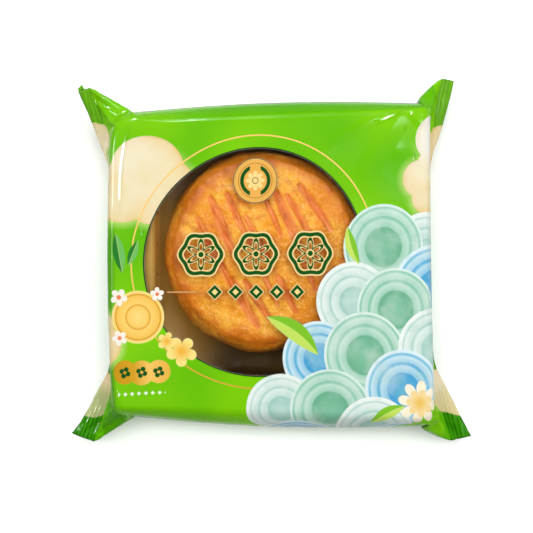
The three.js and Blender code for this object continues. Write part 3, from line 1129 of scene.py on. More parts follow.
@dataclass
class FilmSheet:
    """The pack's film: a flat tube of film, sealed at both ends and drawn over the body.

    Rows run round the pack, and the columns along it: a point's row says how far along the film it
    is, and its column how far round, from the front fold over the top and back underneath.
    """

    form: BodyForm
    length: float = 115.2  # of film between the roots of the two end seals
    width: float = 109.0  # of the tube, laid flat
    fin: float = 7.68  # width of an end seal
    root_height: float = 11.0  # of the seal's root along the end wall
    coarse_rows: int = 35
    coarse_columns: int = 56
    shoulder: float = 45.5  # X where the film starts to close towards an end seal
    skin_gap: float = 0.06
    fin_gap: float = 0.3
    floor_gap: float = 0.08
    sealed_gap: float = 0.12  # half the distance between the two layers of a seal
    pinch: float = 0.55  # how much of an ear's edge, from its tip, keeps its own direction
    cling: float = 0.05  # share of its gap that one pass closes where the film lies on the body
    tuck: float = 0.2  # the same in the folds under the ears
    grip: Plan = (0.02, 0.5)  # share by which a seal's edges are held, all along and at the tips
    passes: tuple[int, ...] = (500, 300, 160)
    ties: tuple[tuple[tuple[int, int], float, float], ...] = (  # rows and columns on, pull, push
        ((1, 0), 1.0, 0.35), ((0, 1), 1.0, 0.35), ((1, 1), 0.6, 0.2), ((1, -1), 0.6, 0.2),
        ((2, 0), 0.0, 0.1), ((0, 2), 0.0, 0.1),
    )

    def grid_step(self, rows: int, columns: int) -> tuple[float, float]:
        """The flat distances from row to row and from column to column."""
        return (self.length + 2 * self.fin) / (rows - 1), 2 * self.width / columns

    def seal_edge(self, ends: tuple[Corner, Corner], cut: bool, count: int) -> Array:
        """One edge of an end seal, from the ear at one corner to the ear at the other.

        Args:
            ends: the corners that it starts and ends at.
            cut: whether it is the cut edge, or else the seal's root.
            count: how many points.

        Returns:
            The points, evenly spaced.
        """
        lean = -1.6 if cut else -0.4
        height = self.root_height - (self.fin if cut else 0.0)
        arms = []
        for corner in ends:
            tip = np.array(corner.cut_tip if cut else corner.root_tip)
            x = corner.body[0] + math.copysign(lean, corner.body[0])
            wall = np.array([x, corner.seal_leaves, height])
            level = tip + (wall - tip) * self.pinch
            level[0] = (level[0] + wall[0]) / 2
            arms.append(bezier(tip, level, wall, 40))
        return evenly(np.concatenate([arms[0], arms[1][::-1]]), count)

    def seal_edges(self, fin_rows: int, count: int) -> list[tuple[int, Array]]:
        """The root and the cut edge of both seals, each with the row of the grid that it holds.

        Args:
            fin_rows: how many rows deep a seal is.
            count: how many points an edge has.

        Returns:
            Rows and edges.
        """
        held = []
        for ends, root_row, cut_row in ((LEFT_END, fin_rows, 0), (RIGHT_END, -1 - fin_rows, -1)):
            held.append((root_row, self.seal_edge(ends, False, count)))
            held.append((cut_row, self.seal_edge(ends, True, count)))
        return held

    def links(self, rows: int, columns: int) -> list[Links]:
        """The links that keep a grid's lengths, a set for each tie."""
        down, across = self.grid_step(rows, columns)
        return [
            Links.between(rows, columns, step, math.hypot(step[0] * down, step[1] * across), pull, push)
            for step, pull, push in self.ties
        ]

    def wrapped(self) -> Array:
        """The first rough wrap: sections of the body, closed flat towards both seals."""
        rows, columns = self.coarse_rows, self.coarse_columns
        row_step, _ = self.grid_step(rows, columns)
        half = columns // 2
        points = np.zeros((rows, columns, 3))
        for row in range(rows):
            along = row * row_step - self.length / 2 - self.fin
            ends = LEFT_END if along < 0 else RIGHT_END
            x = max(-self.shoulder, min(self.shoulder, along))
            section = self.form.section(x, columns)
            edges = (self.seal_edge(ends, is_cut, half + 1) for is_cut in (False, True))
            root, cut = (np.concatenate([edge, edge[-2:0:-1]]) for edge in edges)
            closing = (abs(along) - self.shoulder) / (self.length / 2 - self.shoulder)
            share = min(1.0, max(0.0, closing))
            out = min(1.0, max(0.0, (abs(along) - self.length / 2) / self.fin))
            points[row] = (section * (1 - share) + root * share) * (1 - out) + cut * out
        return points

    def finer(self, points: Array) -> Array:
        """The same film with twice the rows and columns.

        Args:
            points: its grid of points.

        Returns:
            The finer grid.
        """
        rows, columns, _ = points.shape
        tall = np.zeros((2 * rows - 1, columns, 3))
        tall[::2] = points
        tall[1::2] = (points[:-1] + points[1:]) / 2
        wide = np.zeros((2 * rows - 1, 2 * columns, 3))
        wide[:, ::2] = tall
        wide[:, 1::2] = (tall + np.roll(tall, -1, axis=1)) / 2
        return wide

    def settle(self, points: Array, passes: int) -> Array:
        """Draws the film over the body while it keeps its lengths.

        Args:
            points: the film's grid of points.
            passes: how many rounds of corrections.

        Returns:
            The settled grid.
        """
        rows, columns, _ = points.shape
        down, _ = self.grid_step(rows, columns)
        links = self.links(rows, columns)
        along = np.abs(np.arange(rows) * down - self.length / 2 - self.fin)
        in_fin = along > self.length / 2 - 0.01
        half = columns // 2
        over = np.arange(1, half)
        under = columns - over
        drawn = 1.0 - smooth_step(self.shoulder - 2, self.length / 2, along)
        gap = np.where(in_fin, self.fin_gap, self.skin_gap)[:, None]
        open_rows = np.where(~in_fin)[0]
        from_middle = np.abs(np.arange(columns) % half - half / 2) / (half / 2)
        on_wall = along > self.shoulder + 2
        tucked = on_wall[:, None] * (1.0 - smooth_step(0.45, 0.6, from_middle))[None, :]
        edges = self.seal_edges(int(round(self.fin / down)), half + 1)
        at_tips = smooth_step(0.75, 1.0, np.abs(np.linspace(-1, 1, half + 1)))[:, None]
        grip = self.grip[0] + self.grip[1] * at_tips
        for _ in range(passes):
            flat = points.reshape(-1, 3)
            for link in links:
                link.hold(flat)
            away, out = self.form.distance(points)
            pull = self.cling * np.clip(away, 0.0, 1.0) * drawn[:, None]
            pull += self.tuck * np.clip(away - gap, 0.0, 2.0) * tucked
            push = np.minimum(away - gap, 0.0)
            points -= out * (pull + push)[..., None]
            middle = (points[in_fin][:, over] + points[in_fin][:, under]) / 2
            held = points[in_fin]
            held[:, over] = held[:, under] = middle
            points[in_fin] = held
            lift = points[open_rows][:, over, 2] - points[open_rows][:, under, 2] - 2 * self.sealed_gap
            lift = np.minimum(lift, 0.0) / 2
            points[open_rows[:, None], over, 2] -= lift
            points[open_rows[:, None], under, 2] += lift
            for row, edge in edges:
                points[row, : half + 1] += (edge - points[row, : half + 1]) * grip
                points[row, under] = points[row, over]
            points[..., 2] = np.maximum(points[..., 2], self.floor_gap)
        return points

    def relaxed(self) -> Array:
        """The film drawn over the body, from the rough wrap through ever finer grids."""
        points = self.wrapped()
        for level, passes in enumerate(self.passes):
            if level:
                points = self.finer(points)
            points = self.settle(points, passes)
            LOG.info("film settled on %d x %d points", *points.shape[:2])
        return points


@dataclass(frozen=True)
class Crease:
    """A sharp fold or a soft roll in the film, along a line in plan.

    Attributes:
        line: points that it runs through, in plan.
        height: how far it stands out of the film, or into it where negative.
        width: how wide its flank is on either side.
    """

    line: tuple[Plan, ...]
    height: float
    width: float

    def rise(self, plan: Array) -> Array:
        """How far the crease lifts the film.

        Args:
            plan: places in plan, one a row.

        Returns:
            The lift at each.
        """
        off, along = nearest(plan, evenly(np.array(self.line), 4 * len(self.line)))
        taper = smooth_step(0.0, 0.25, along) * (1.0 - smooth_step(0.75, 1.0, along))
        return self.height * taper * np.exp(-off / self.width)


@dataclass
class FilmSkin:
    """The visible film: the settled sheet on a finer grid, with its crimps, cut edges and creases."""

    sheet: FilmSheet
    body_step: float = 0.8
    crimp_step: float = 0.25
    columns: int = 360
    crimp_depth: float = 0.1
    tooth_depth: float = 0.3
    crumple: float = 0.05  # of the film in the ears
    seam_half_width: float = 7.5
    seam_rise: float = 0.5
    seed: int = 5
    creases: tuple[Crease, ...] = (
        Crease(((31.0, 44.0), (35.5, 38.0), (38.2, 29.6)), 0.3, 2.2),
        Crease(((22.0, 40.5), (15.5, 31.0), (9.0, 22.5)), 0.22, 2.4),
        Crease(((-36.5, -42.6), (-28.0, -40.2), (-19.0, -40.6)), 0.12, 0.8),
    )
    ear_folds: tuple[Crease, ...] = (
        Crease(((-57.0, 53.6), (-53.0, 48.8), (-48.0, 43.4)), -0.9, 0.8),
        Crease(((-54.8, 53.0), (-50.6, 49.2), (-46.6, 46.0)), 0.5, 0.7),
        Crease(((50.4, 54.2), (48.9, 47.0), (48.5, 39.5)), -0.9, 0.6),
        Crease(((-47.6, -46.6), (-55.2, -50.4), (-56.6, -54.0)), -0.6, 0.6),
        Crease(((-50.0, -53.2), (-55.0, -51.8), (-57.4, -53.6)), 0.35, 0.6),
        Crease(((47.6, -47.8), (53.6, -49.6), (57.0, -53.4)), -0.45, 0.6),
    )

    def rows_along(self) -> Array:
        """Where the rows lie along the film, close together across the crimped seals."""
        half = self.sheet.length / 2
        fin = np.arange(0.0, self.sheet.fin, self.crimp_step)
        body = np.linspace(-half, half, int(self.sheet.length / self.body_step) + 1)
        return np.concatenate([-half - self.sheet.fin + fin, body, (half + self.sheet.fin - fin)[::-1]])

    def surface(self, settled: Array) -> Array:
        """The settled film's points, read on the fine grid.

        Args:
            settled: the relaxed grid.

        Returns:
            The fine grid.
        """
        sheet = self.sheet
        rows, columns, _ = settled.shape
        down, _ = sheet.grid_step(rows, columns)
        places = (self.rows_along() + sheet.length / 2 + sheet.fin) / down
        grid = spline(settled, places, closed=False)
        turns = np.arange(self.columns) * columns / self.columns
        return spline(grid.swapaxes(0, 1), turns, closed=True).swapaxes(0, 1)

    @staticmethod
    def normals(grid: Array) -> Array:
        """Unit directions out of the film.

        Args:
            grid: its points.

        Returns:
            The direction at each point.
        """
        lengthways = np.gradient(grid, axis=0)
        sideways = np.roll(grid, -1, axis=1) - np.roll(grid, 1, axis=1)
        out = np.cross(lengthways, sideways)
        return out / (np.linalg.norm(out, axis=2, keepdims=True) + 1e-9)

    def crimped(self, grid: Array, out: Array) -> Array:
        """Presses the crimps into both layers of the end seals, and nicks their cut edges.

        Args:
            grid: the film's points.
            out: the directions out of it.

        Returns:
            The pressed points.
        """
        sheet, along, half = self.sheet, self.rows_along(), self.columns // 2
        depth = np.abs(along) - sheet.length / 2
        sealed = smooth_step(-0.3, 0.6, depth)
        over, under = np.arange(1, half), self.columns - np.arange(1, half)
        up = out.copy()
        up[:, under] = out[:, over]
        wave = self.crimp_depth * np.sin(math.tau * depth / CRIMP_PITCH) * sealed
        apart = np.zeros(self.columns)
        apart[over], apart[under] = sheet.sealed_gap, -sheet.sealed_gap
        grid = grid + up * (wave[:, None] + sealed[:, None] * apart[None, :])[..., None]
        teeth = np.where(np.arange(self.columns) % 4 < 2, self.tooth_depth, 0.0)
        teeth[under] = teeth[over]
        for edge, inner in ((0, 2), (-1, -3)):
            away = grid[edge] - grid[inner]
            grid[edge] += away / np.linalg.norm(away, axis=1)[:, None] * teeth[:, None]
        return grid

    def wrinkles(self, points: Array) -> Array:
        """How far the film's creases and its crumpled ears move it out.

        Args:
            points: its points, one a row.

        Returns:
            The distance for each.
        """
        plan = points[:, :2]
        on_face = smooth_step(17.0, 20.0, points[:, 2])
        lift = sum((crease.rise(plan) for crease in self.creases), np.zeros(len(points))) * on_face
        in_ear = self.ear_share(points)
        crumple = value_noise(points, 2.6, self.seed) + 0.5 * value_noise(points, 1.3, self.seed + 1)
        waves = 0.05 * value_noise(points, 9.0, self.seed + 2) * (1.0 - in_ear)
        return lift + self.crumple * crumple * in_ear + waves

    @staticmethod
    def ear_share(points: Array) -> Array:
        """How much each point belongs to an ear, from 0 on the body to 1."""
        beyond = np.maximum(np.abs(points[:, 0]) - 47.0, np.abs(points[:, 1]) - 46.5)
        return smooth_step(0.0, 3.0, beyond)

    def folds(self, points: Array) -> Array:
        """How far both layers of an ear are raised or sunk by its folds."""
        lift = sum((fold.rise(points[:, :2]) for fold in self.ear_folds), np.zeros(len(points)))
        return lift * self.ear_share(points)

    def channel(self, points: Array) -> Array:
        """How far the underside is raised along the lengthwise seam.

        Args:
            points: the film's points, one a row.

        Returns:
            The lift of each.
        """
        across = np.abs(points[:, 1] - SEAM_MIDDLE)
        under = 1.0 - smooth_step(1.0, 3.0, points[:, 2])
        along = 1.0 - smooth_step(40.0, 46.0, np.abs(points[:, 0]))
        aside = smooth_step(self.seam_half_width - 2, self.seam_half_width, across)
        return self.seam_rise * under * along * (1.0 - aside)

    def build(self, settled: Array, material: bpy.types.Material) -> bpy.types.Object:
        """The film as a closed mesh with the flat film's own UV map.

        Args:
            settled: the relaxed grid.
            material: the printed film's material.

        Returns:
            The film.
        """
        grid = self.surface(settled)
        out = self.normals(grid)
        points = self.crimped(grid, out).reshape(-1, 3)
        points = points + out.reshape(-1, 3) * self.wrinkles(points)[:, None]
        points[:, 2] += self.channel(points) + self.folds(points)
        points[:, 2] = np.maximum(points[:, 2], 0.02)
        faces, uv = self.faces()
        film = mesh_piece("printed_film", points, faces, uv)
        film.data.materials.append(material)
        return film

    def faces(self) -> tuple[list[tuple[int, ...]], Array]:
        """The film's faces, closed along both cut edges, and a UV pair for each of their corners."""
        along = self.rows_along() / FILM_UNIT
        around = (np.arange(self.columns + 1) / self.columns * 2 - 0.5) * self.sheet.width / FILM_UNIT
        faces = tube_faces(len(along), self.columns)
        u = np.repeat(along, self.columns)
        corners = np.array(faces)
        v_start = np.tile(np.arange(self.columns), len(along) - 1)
        columns = np.stack([v_start, v_start, v_start + 1, v_start + 1], axis=1)
        uv = [np.stack([u[corners], around[columns]], axis=-1).reshape(-1, 2)]
        half, last = self.columns // 2, (len(along) - 1) * self.columns
        for base, turned in ((0, False), (last, True)):
            for k in range(half):
                mirror, mirror_next = (self.columns - k) % self.columns, self.columns - k - 1
                cut = [k, k + 1, mirror_next, mirror]
                cut = list(dict.fromkeys(cut[::-1] if turned else cut))
                faces.append(tuple(base + column for column in cut))
                uv.append(np.array([(u[base], around[min(c, self.columns - c)]) for c in cut]))
        return faces, np.concatenate(uv)


@dataclass
class BackSeam:
    """The lengthwise seam under the pack: a crimped fin of film, folded flat."""

    length: float = 92.0
    width: float = 10.6
    low: float = 0.1
    high: float = 0.5
    step: float = 0.3
    depth: float = 0.05

    def build(self, material: bpy.types.Material) -> bpy.types.Object:
        """The seam, a thin slab with crimps across it.

        Args:
            material: the printed film's material.

        Returns:
            The seam.
        """
        x = np.arange(-self.length / 2, self.length / 2 + self.step / 2, self.step)
        half = self.width / 2
        wave = self.depth * np.sin(math.tau * x / CRIMP_PITCH)
        sides = (((-half, 0), (half, 0)), ((half, 1), (-half, 1)))
        section = np.concatenate([evenly(np.array(side), 9) for side in sides])
        rings = []
        for place, lift in zip(x, wave):
            y = SEAM_MIDDLE + section[:, 0]
            z = self.low + (self.high - self.low) * section[:, 1] + lift
            rings.append(np.stack([np.full(len(section), place), y, z], axis=1))
        ends = tuple((x[k], SEAM_MIDDLE, (self.low + self.high) / 2) for k in (0, -1))
        seam = closed_loft("back_seam", rings, ends)
        layer = seam.data.uv_layers.new(name="film")
        flat = np.array([(v.co.x, 2 * FilmSheet.width * MM + v.co.y) for v in seam.data.vertices])
        corners = np.array([loop.vertex_index for loop in seam.data.loops])
        layer.data.foreach_set("uv", (flat[corners] / (MM * FILM_UNIT)).astype(np.float32).ravel())
        seam.data.materials.append(material)
        return seam


# ---- The tray and the cake --------------------


def rounded_square(half: Plan, centre: Plan, z: float, squareness: float) -> Array:
    """A level ring of points between an ellipse and a rectangle in shape.

    Args:
        half: its half sizes along X and Y.
        centre: its middle in plan.
        z: its height.
        squareness: 2 for an ellipse, and more for straighter sides.

    Returns:
        RING_POINTS points, counter-clockwise.
    """
    turns = np.linspace(0.0, math.tau, RING_POINTS, endpoint=False)
    way = np.stack([np.cos(turns), np.sin(turns)], axis=1)
    reach = (np.abs(way / half) ** squareness).sum(axis=1) ** (-1 / squareness)
    return np.column_stack([centre + reach[:, None] * way, np.full(RING_POINTS, z)])


def closed_loft(
    name: str, rings: list[Array], ends: tuple[Point, Point], marks: dict[str, Array] | None = None
) -> bpy.types.Object:
    """A closed piece through rings of points, drawn together to a point at either end.

    Args:
        name: the piece's name.
        rings: the rings, all with as many points.
        ends: the points before the first ring and after the last.
        marks: values for each ring point and then for the two ends, by name.

    Returns:
        The piece, with its faces pointing outwards.
    """
    count = len(rings[0])
    points = np.concatenate([*rings, np.array(ends)])
    first, last = len(points) - 2, len(points) - 1
    top = (len(rings) - 1) * count
    faces = tube_faces(len(rings), count)
    for k in range(count):
        ahead = (k + 1) % count
        faces += [(first, k, ahead), (last, top + ahead, top + k)]
    fan = np.array([f[:3] for f in faces] + [(f[0], *f[2:]) for f in faces if len(f) == 4])
    a, b, c = (points[fan[:, k]] - points[0] for k in range(3))
    if (a * np.cross(b, c)).sum() < 0:
        faces = [face[::-1] for face in faces]
    return mesh_piece(name, points, faces, marks=marks)


def grown(
    name: str, base: bpy.types.Object, tree: bpy.types.NodeTree, values: dict[str, object]
) -> bpy.types.Object:
    """Runs a geometry node tree on a base mesh and keeps the result as a plain mesh.

    Args:
        name: the new piece's name.
        base: the mesh that the tree starts from, which is removed.
        tree: the tree.
        values: what goes into the tree's named inputs.

    Returns:
        The piece.
    """
    modifier = base.modifiers.new("grow", "NODES")
    modifier.node_group = tree
    for item in tree.interface.items_tree:
        if item.item_type == "SOCKET" and item.in_out == "INPUT" and item.name in values:
            modifier[item.identifier] = values[item.name]
    graph = bpy.context.evaluated_depsgraph_get()
    mesh = bpy.data.meshes.new_from_object(base.evaluated_get(graph), depsgraph=graph)
    mesh.name = name
    bpy.data.objects.remove(base)
    return linked(name, mesh)


class GeometryTree(Graph):
    """A geometry node tree with named inputs, which ends in Realize Instances and Set Material."""

    def __init__(self, name: str, sizes: tuple[str, ...]) -> None:
        """Starts the tree with its inputs.

        Args:
            name: the tree's name.
            sizes: the names of its inputs, besides Geometry, Seed and Material.
        """
        super().__init__(bpy.data.node_groups.new(name, "GeometryNodeTree"))
        kinds = {"Geometry": "Geometry"} | dict.fromkeys(sizes, "Float")
        for key, kind in (kinds | {"Seed": "Int", "Material": "Material"}).items():
            self.tree.interface.new_socket(key, in_out="INPUT", socket_type="NodeSocket" + kind)
        self.tree.interface.new_socket("Geometry", in_out="OUTPUT", socket_type="NodeSocketGeometry")
        self.given = self.tree.nodes.new("NodeGroupInput").outputs

    def random(self, low: Point, high: Point) -> Field:
        """A random vector for each point, from the tree's own seed."""
        inputs = {0: low, 1: high, "Seed": self.given["Seed"]}
        return self.read("FunctionNodeRandomValue", inputs, data_type="FLOAT_VECTOR")

    def end(self, points: Field, shape: Field, turn: Field, scale: Field) -> bpy.types.NodeTree:
        """Closes the tree on instances of a shape at points.

        Args:
            points: the points.
            shape: what stands at each of them.
            turn: how it is turned there.
            scale: how it is scaled there.

        Returns:
            The tree.
        """
        inputs = {"Points": points, "Instance": shape, "Rotation": turn, "Scale": scale}
        instances = self.read("GeometryNodeInstanceOnPoints", inputs)
        real = self.read("GeometryNodeRealizeInstances", {"Geometry": instances})
        dressed = {"Geometry": real, "Material": self.given["Material"]}
        self.node("NodeGroupOutput", {0: self.read("GeometryNodeSetMaterial", dressed)})
        return self.tree


@dataclass(frozen=True)
class TrayPlastic:
    """The tray's finish: thin glossy tan plastic, with painted shade darker down in the well and towards
    its front middle, painted light on its left wall, and an emission that stands in for daylight through
    that wall.
    """

    rim: Colour = ink(210, 168, 82)
    # painted light: a lighter tan for the left wall of the well
    wall: Colour = ink(214, 180, 116)
    # painted shade: the darker tan down in the well, and a darker brown towards its front middle
    well: Colour = ink(150, 112, 36)
    shade: Colour = ink(76, 54, 20)
    stain: Colour = ink(136, 104, 46)
    # painted light: an emission, not a lamp, that stands in for daylight through the thin left wall
    glow: Colour = ink(98, 70, 16)  # of daylight that comes through the thin left wall
    roughness: float = 0.3
    specular: float = 0.25
    relief: float = 0.0003

    def make(self) -> bpy.types.Material:
        """The material."""
        material, graph, shader = new_material("tray_plastic")
        point = graph.place()
        x, y, height = graph.parts(point)

        def soft(value: Field, low: float, high: float) -> Field:
            """A soft rise between two places, in millimetres."""
            return graph.rise(value, low * MM, high * MM, smooth=True)

        # painted shade: the plastic is darker down in the well and towards its front middle; painted
        # light makes its left wall lighter
        depth = soft(height, 17.6, 11.0)
        well = graph.mix(self.well, self.shade, soft(x, -26.0, -12.0) * soft(y, -16.0, -30.0))
        well = graph.mix(well, self.wall, soft(x, -24.0, -34.0) * 0.7)
        # painted light: the left of the well glows, standing in for daylight through the thin wall
        painted_daylight = soft(x, -14.0, -28.0) * soft(y, 24.0, 8.0) * depth
        stains = graph.patches(point, 60.0, 3.0, 0.35, 0.75)
        graph.feed(shader, {
            "Base Color": graph.mix(graph.mix(self.rim, well, depth), self.stain, stains * 0.35),
            "Roughness": graph.blend(self.roughness, self.roughness + 0.16, stains),
            "Specular IOR Level": self.specular,
            "Emission Color": graph.mix((0.0, 0.0, 0.0), self.glow, painted_daylight),
            "Emission Strength": 1.0,
            "Normal": graph.bump(graph.noise(point, 240.0), self.relief),
        })
        return material


@dataclass
class Tray:
    """The thin tray: a flange under the film, and a rounded-square well that holds the cake."""

    middle: Plan = (-2.0, 0.6)
    flange: Plan = (44.6, 41.0)
    well: Plan = (32.6, 35.6)
    flange_height: float = 19.6
    lip_drop: float = 1.6
    bead: float = 0.35
    floor_height: float = 2.1
    wall_draft: float = 1.3
    thickness: float = 0.4
    rib_spacing: float = 9.4
    rib_depth: float = 0.34
    rib_width: float = 1.1
    rib_length: float = 12.0
    finish: TrayPlastic = TrayPlastic()

    def sections(self) -> list[tuple[Array, float, float]]:
        """The tray's upper face as rings from its lip to its floor: half sizes, height, squareness."""
        flange, well, top = np.array(self.flange), np.array(self.well), self.flange_height
        low, draft = self.floor_height, self.wall_draft
        return [
            (flange, top - self.lip_drop, 9.0),
            (flange - 0.2, top - 0.4, 9.0),
            (flange - 0.8, top, 9.0),
            (well + 2.6, top - 0.1, 7.0),
            (well + 1.8, top + self.bead, 7.0),
            (well + 1.1, top + self.bead, 7.0),
            (well + 0.3, top - 0.2, 7.0),
            (well, top - 1.2, 7.0),
            (well - 0.5 * draft, (top + low) / 2, 7.0),
            (well - draft, low + 1.6, 6.0),
            (well - draft - 0.7, low + 0.5, 6.0),
            (well - draft - 2.0, low, 6.0),
            (well - 12.0, low, 5.0),
            (np.array([6.0, 6.0]), low, 2.0),
        ]

    def shell(self) -> bpy.types.Object:
        """The tray's shell, with its underside a wall's thickness away."""
        thin, middle = self.thickness, self.middle
        over = [rounded_square(half, middle, z, n) for half, z, n in self.sections()]
        under = [rounded_square(half + thin, middle, z - thin, n) for half, z, n in self.sections()[1:]]
        ends = ((*middle, self.floor_height), (*middle, self.floor_height - thin))
        return closed_loft("tray", over[::-1] + under, ends)

    def rib_tree(self) -> bpy.types.NodeTree:
        """Geometry nodes that set ribs along a path, at even spacing."""
        tree = GeometryTree("tray_ribs", ("Spacing", "Depth", "Width", "Length"))
        given = tree.given
        path = tree.read("GeometryNodeMeshToCurve", {"Mesh": given["Geometry"]})
        spaced = {"Curve": path, "Length": given["Spacing"]}
        posts = tree.read("GeometryNodeResampleCurve", spaced, mode="LENGTH")
        rib = tree.read("GeometryNodeMeshUVSphere", {"Segments": 10, "Rings": 8, "Radius": 0.5})
        sizes = {"X": given["Width"], "Y": given["Depth"], "Z": given["Length"]}
        size = tree.read("ShaderNodeCombineXYZ", sizes)
        tangent = {"Vector": tree.read("GeometryNodeInputTangent", {})}
        turn = tree.read("FunctionNodeAlignRotationToVector", tangent, axis="X")
        return tree.end(posts, rib, turn, size)

    def ribs(self, material: bpy.types.Material) -> bpy.types.Object:
        """The ribs round the well's wall.

        Args:
            material: the tray's plastic.

        Returns:
            The ribs, as one piece.
        """
        half, height, squareness = self.sections()[8]
        path = rounded_square(half, self.middle, height, squareness)
        mesh = bpy.data.meshes.new("rib_path")
        edges = [(k, (k + 1) % len(path)) for k in range(len(path))]
        mesh.from_pydata((path * MM).tolist(), edges, [])
        base = linked("rib_path", mesh)
        sizes = {
            "Spacing": self.rib_spacing * MM,
            "Depth": 2 * self.rib_depth * MM,
            "Width": self.rib_width * MM,
            "Length": self.rib_length * MM,
            "Seed": 0,
            "Material": material,
        }
        return grown("tray_ribs", base, self.rib_tree(), sizes)

    def build(self) -> list[bpy.types.Object]:
        """The tray's pieces, dressed."""
        material = self.finish.make()
        shell = self.shell()
        shell.data.materials.append(material)
        return [shell, self.ribs(material)]


@dataclass(frozen=True)
class Slash:
    """A shallow cut in the crust, glazed and redder than the rest.

    Attributes:
        start: its first point in plan.
        middle: a point that it bends towards.
        end: its last point.
        width: how wide it is.
        depth: how deep.
    """

    start: Plan
    middle: Plan
    end: Plan
    width: float
    depth: float = 0.35

    def place(self, plan: Array) -> tuple[Array, Array]:
        """Where plan points lie as the cut sees them.

        Args:
            plan: the points, one a row.

        Returns:
            How far they are off the cut's line, in half widths, and how far along it.
        """
        points = (np.array(point) for point in (self.start, self.middle, self.end))
        off, along = nearest(plan, bezier(*points, 25))
        taper = 0.35 + 0.65 * np.sqrt(np.clip(np.sin(math.pi * along), 0.0, 1.0))
        return off / (taper * self.width / 2), along


@dataclass(frozen=True)
class Crust:
    """The cake's finish: a glazed golden crust, browner at its shoulder, with redder cuts and painted
    glints of pale grain.
    """

    pale: Colour = ink(246, 182, 54, 0.97)
    golden: Colour = ink(232, 146, 14, 0.94)
    deep: Colour = ink(206, 106, 12, 0.9)
    brown: Colour = ink(210, 112, 8, 0.94)
    burnt: Colour = ink(158, 82, 6, 0.92)
    cut: Colour = ink(214, 100, 38, 0.95)
    cut_pale: Colour = ink(240, 152, 84, 0.95)
    cut_dark: Colour = ink(150, 60, 26, 0.95)
    # the crumbs' own colour, and the colour of the painted glints on the crust's grain
    crumb_and_glint: Colour = ink(252, 216, 126, 0.95)
    cut_turn: float = -1.15  # the way that the cuts run
    streak_length: float = 7.0  # how much longer the cuts' streaks are than wide
    specular: float = 0.3
    relief: float = 0.0005

    def make(self) -> bpy.types.Material:
        """The crust's material, which reads the marks that the cake's mesh carries."""
        material, graph, shader = new_material("crust")
        point = graph.place()
        slash, shoulder = (
            graph.read("ShaderNodeAttribute", {}, "Fac", attribute_name=mark) for mark in CAKE_MARKS
        )
        bright = graph.patches(point, 95.0, 4.0, 0.4, 0.6)
        colour = graph.mix(self.golden, self.pale, bright)
        spots = graph.patches(point, 260.0, 4.0, 0.5, 0.7)
        colour = graph.mix(colour, self.deep, spots * 0.7)
        grain = graph.noise(point, 1300.0, 3.0, 0.65)
        colour = graph.mix(colour, self.deep, graph.rise(grain, 0.46, 0.36) * 0.3)
        # painted highlight: pale glints on the crust's grain, away from the cuts
        painted_glint = graph.rise(grain, 0.54, 0.66) * (1.0 - slash)
        colour = graph.mix(colour, self.crumb_and_glint, painted_glint * (bright * 0.4 + 0.35))
        colour = graph.mix(colour, self.brown, graph.rise(shoulder, 0.0, 0.7))
        colour = graph.mix(colour, self.burnt, graph.rise(shoulder, 0.55, 1.0) * 0.8)
        along_cuts = {"Rotation": (0.0, 0.0, self.cut_turn), "Scale": (self.streak_length, 1.0, 1.0)}
        drawn = graph.read("ShaderNodeMapping", {"Vector": point} | along_cuts, vector_type="TEXTURE")
        streak = graph.patches(drawn, 900.0, 4.0, 0.4, 0.6)
        red = graph.mix(graph.mix(self.cut, self.cut_dark, spots * 0.6), self.cut_pale, streak * 0.8)
        cut = graph.rise(slash + streak * 0.35, 0.3, 0.85)
        relief = grain * 0.3 + graph.noise(point, 420.0, 3.0) * (1.0 - slash) + streak * slash * 0.3
        graph.feed(shader, {
            "Base Color": graph.mix(colour, red, cut * 0.85),
            "Roughness": graph.blend(0.42, 0.2, cut),
            "Specular IOR Level": self.specular,
            "Normal": graph.bump(relief, self.relief),
        })
        return material

    def make_fleck(self) -> bpy.types.Material:
        """The material of the crumbs that lie on the crust."""
        material, graph, shader = new_material("crumb")
        patch = graph.patches(graph.place(), 700.0, 2.0, 0.35, 0.65)
        colour = graph.mix(self.crumb_and_glint, self.golden, patch)
        graph.feed(shader, {"Base Color": colour, "Roughness": graph.blend(0.35, 0.6, patch)})
        return material


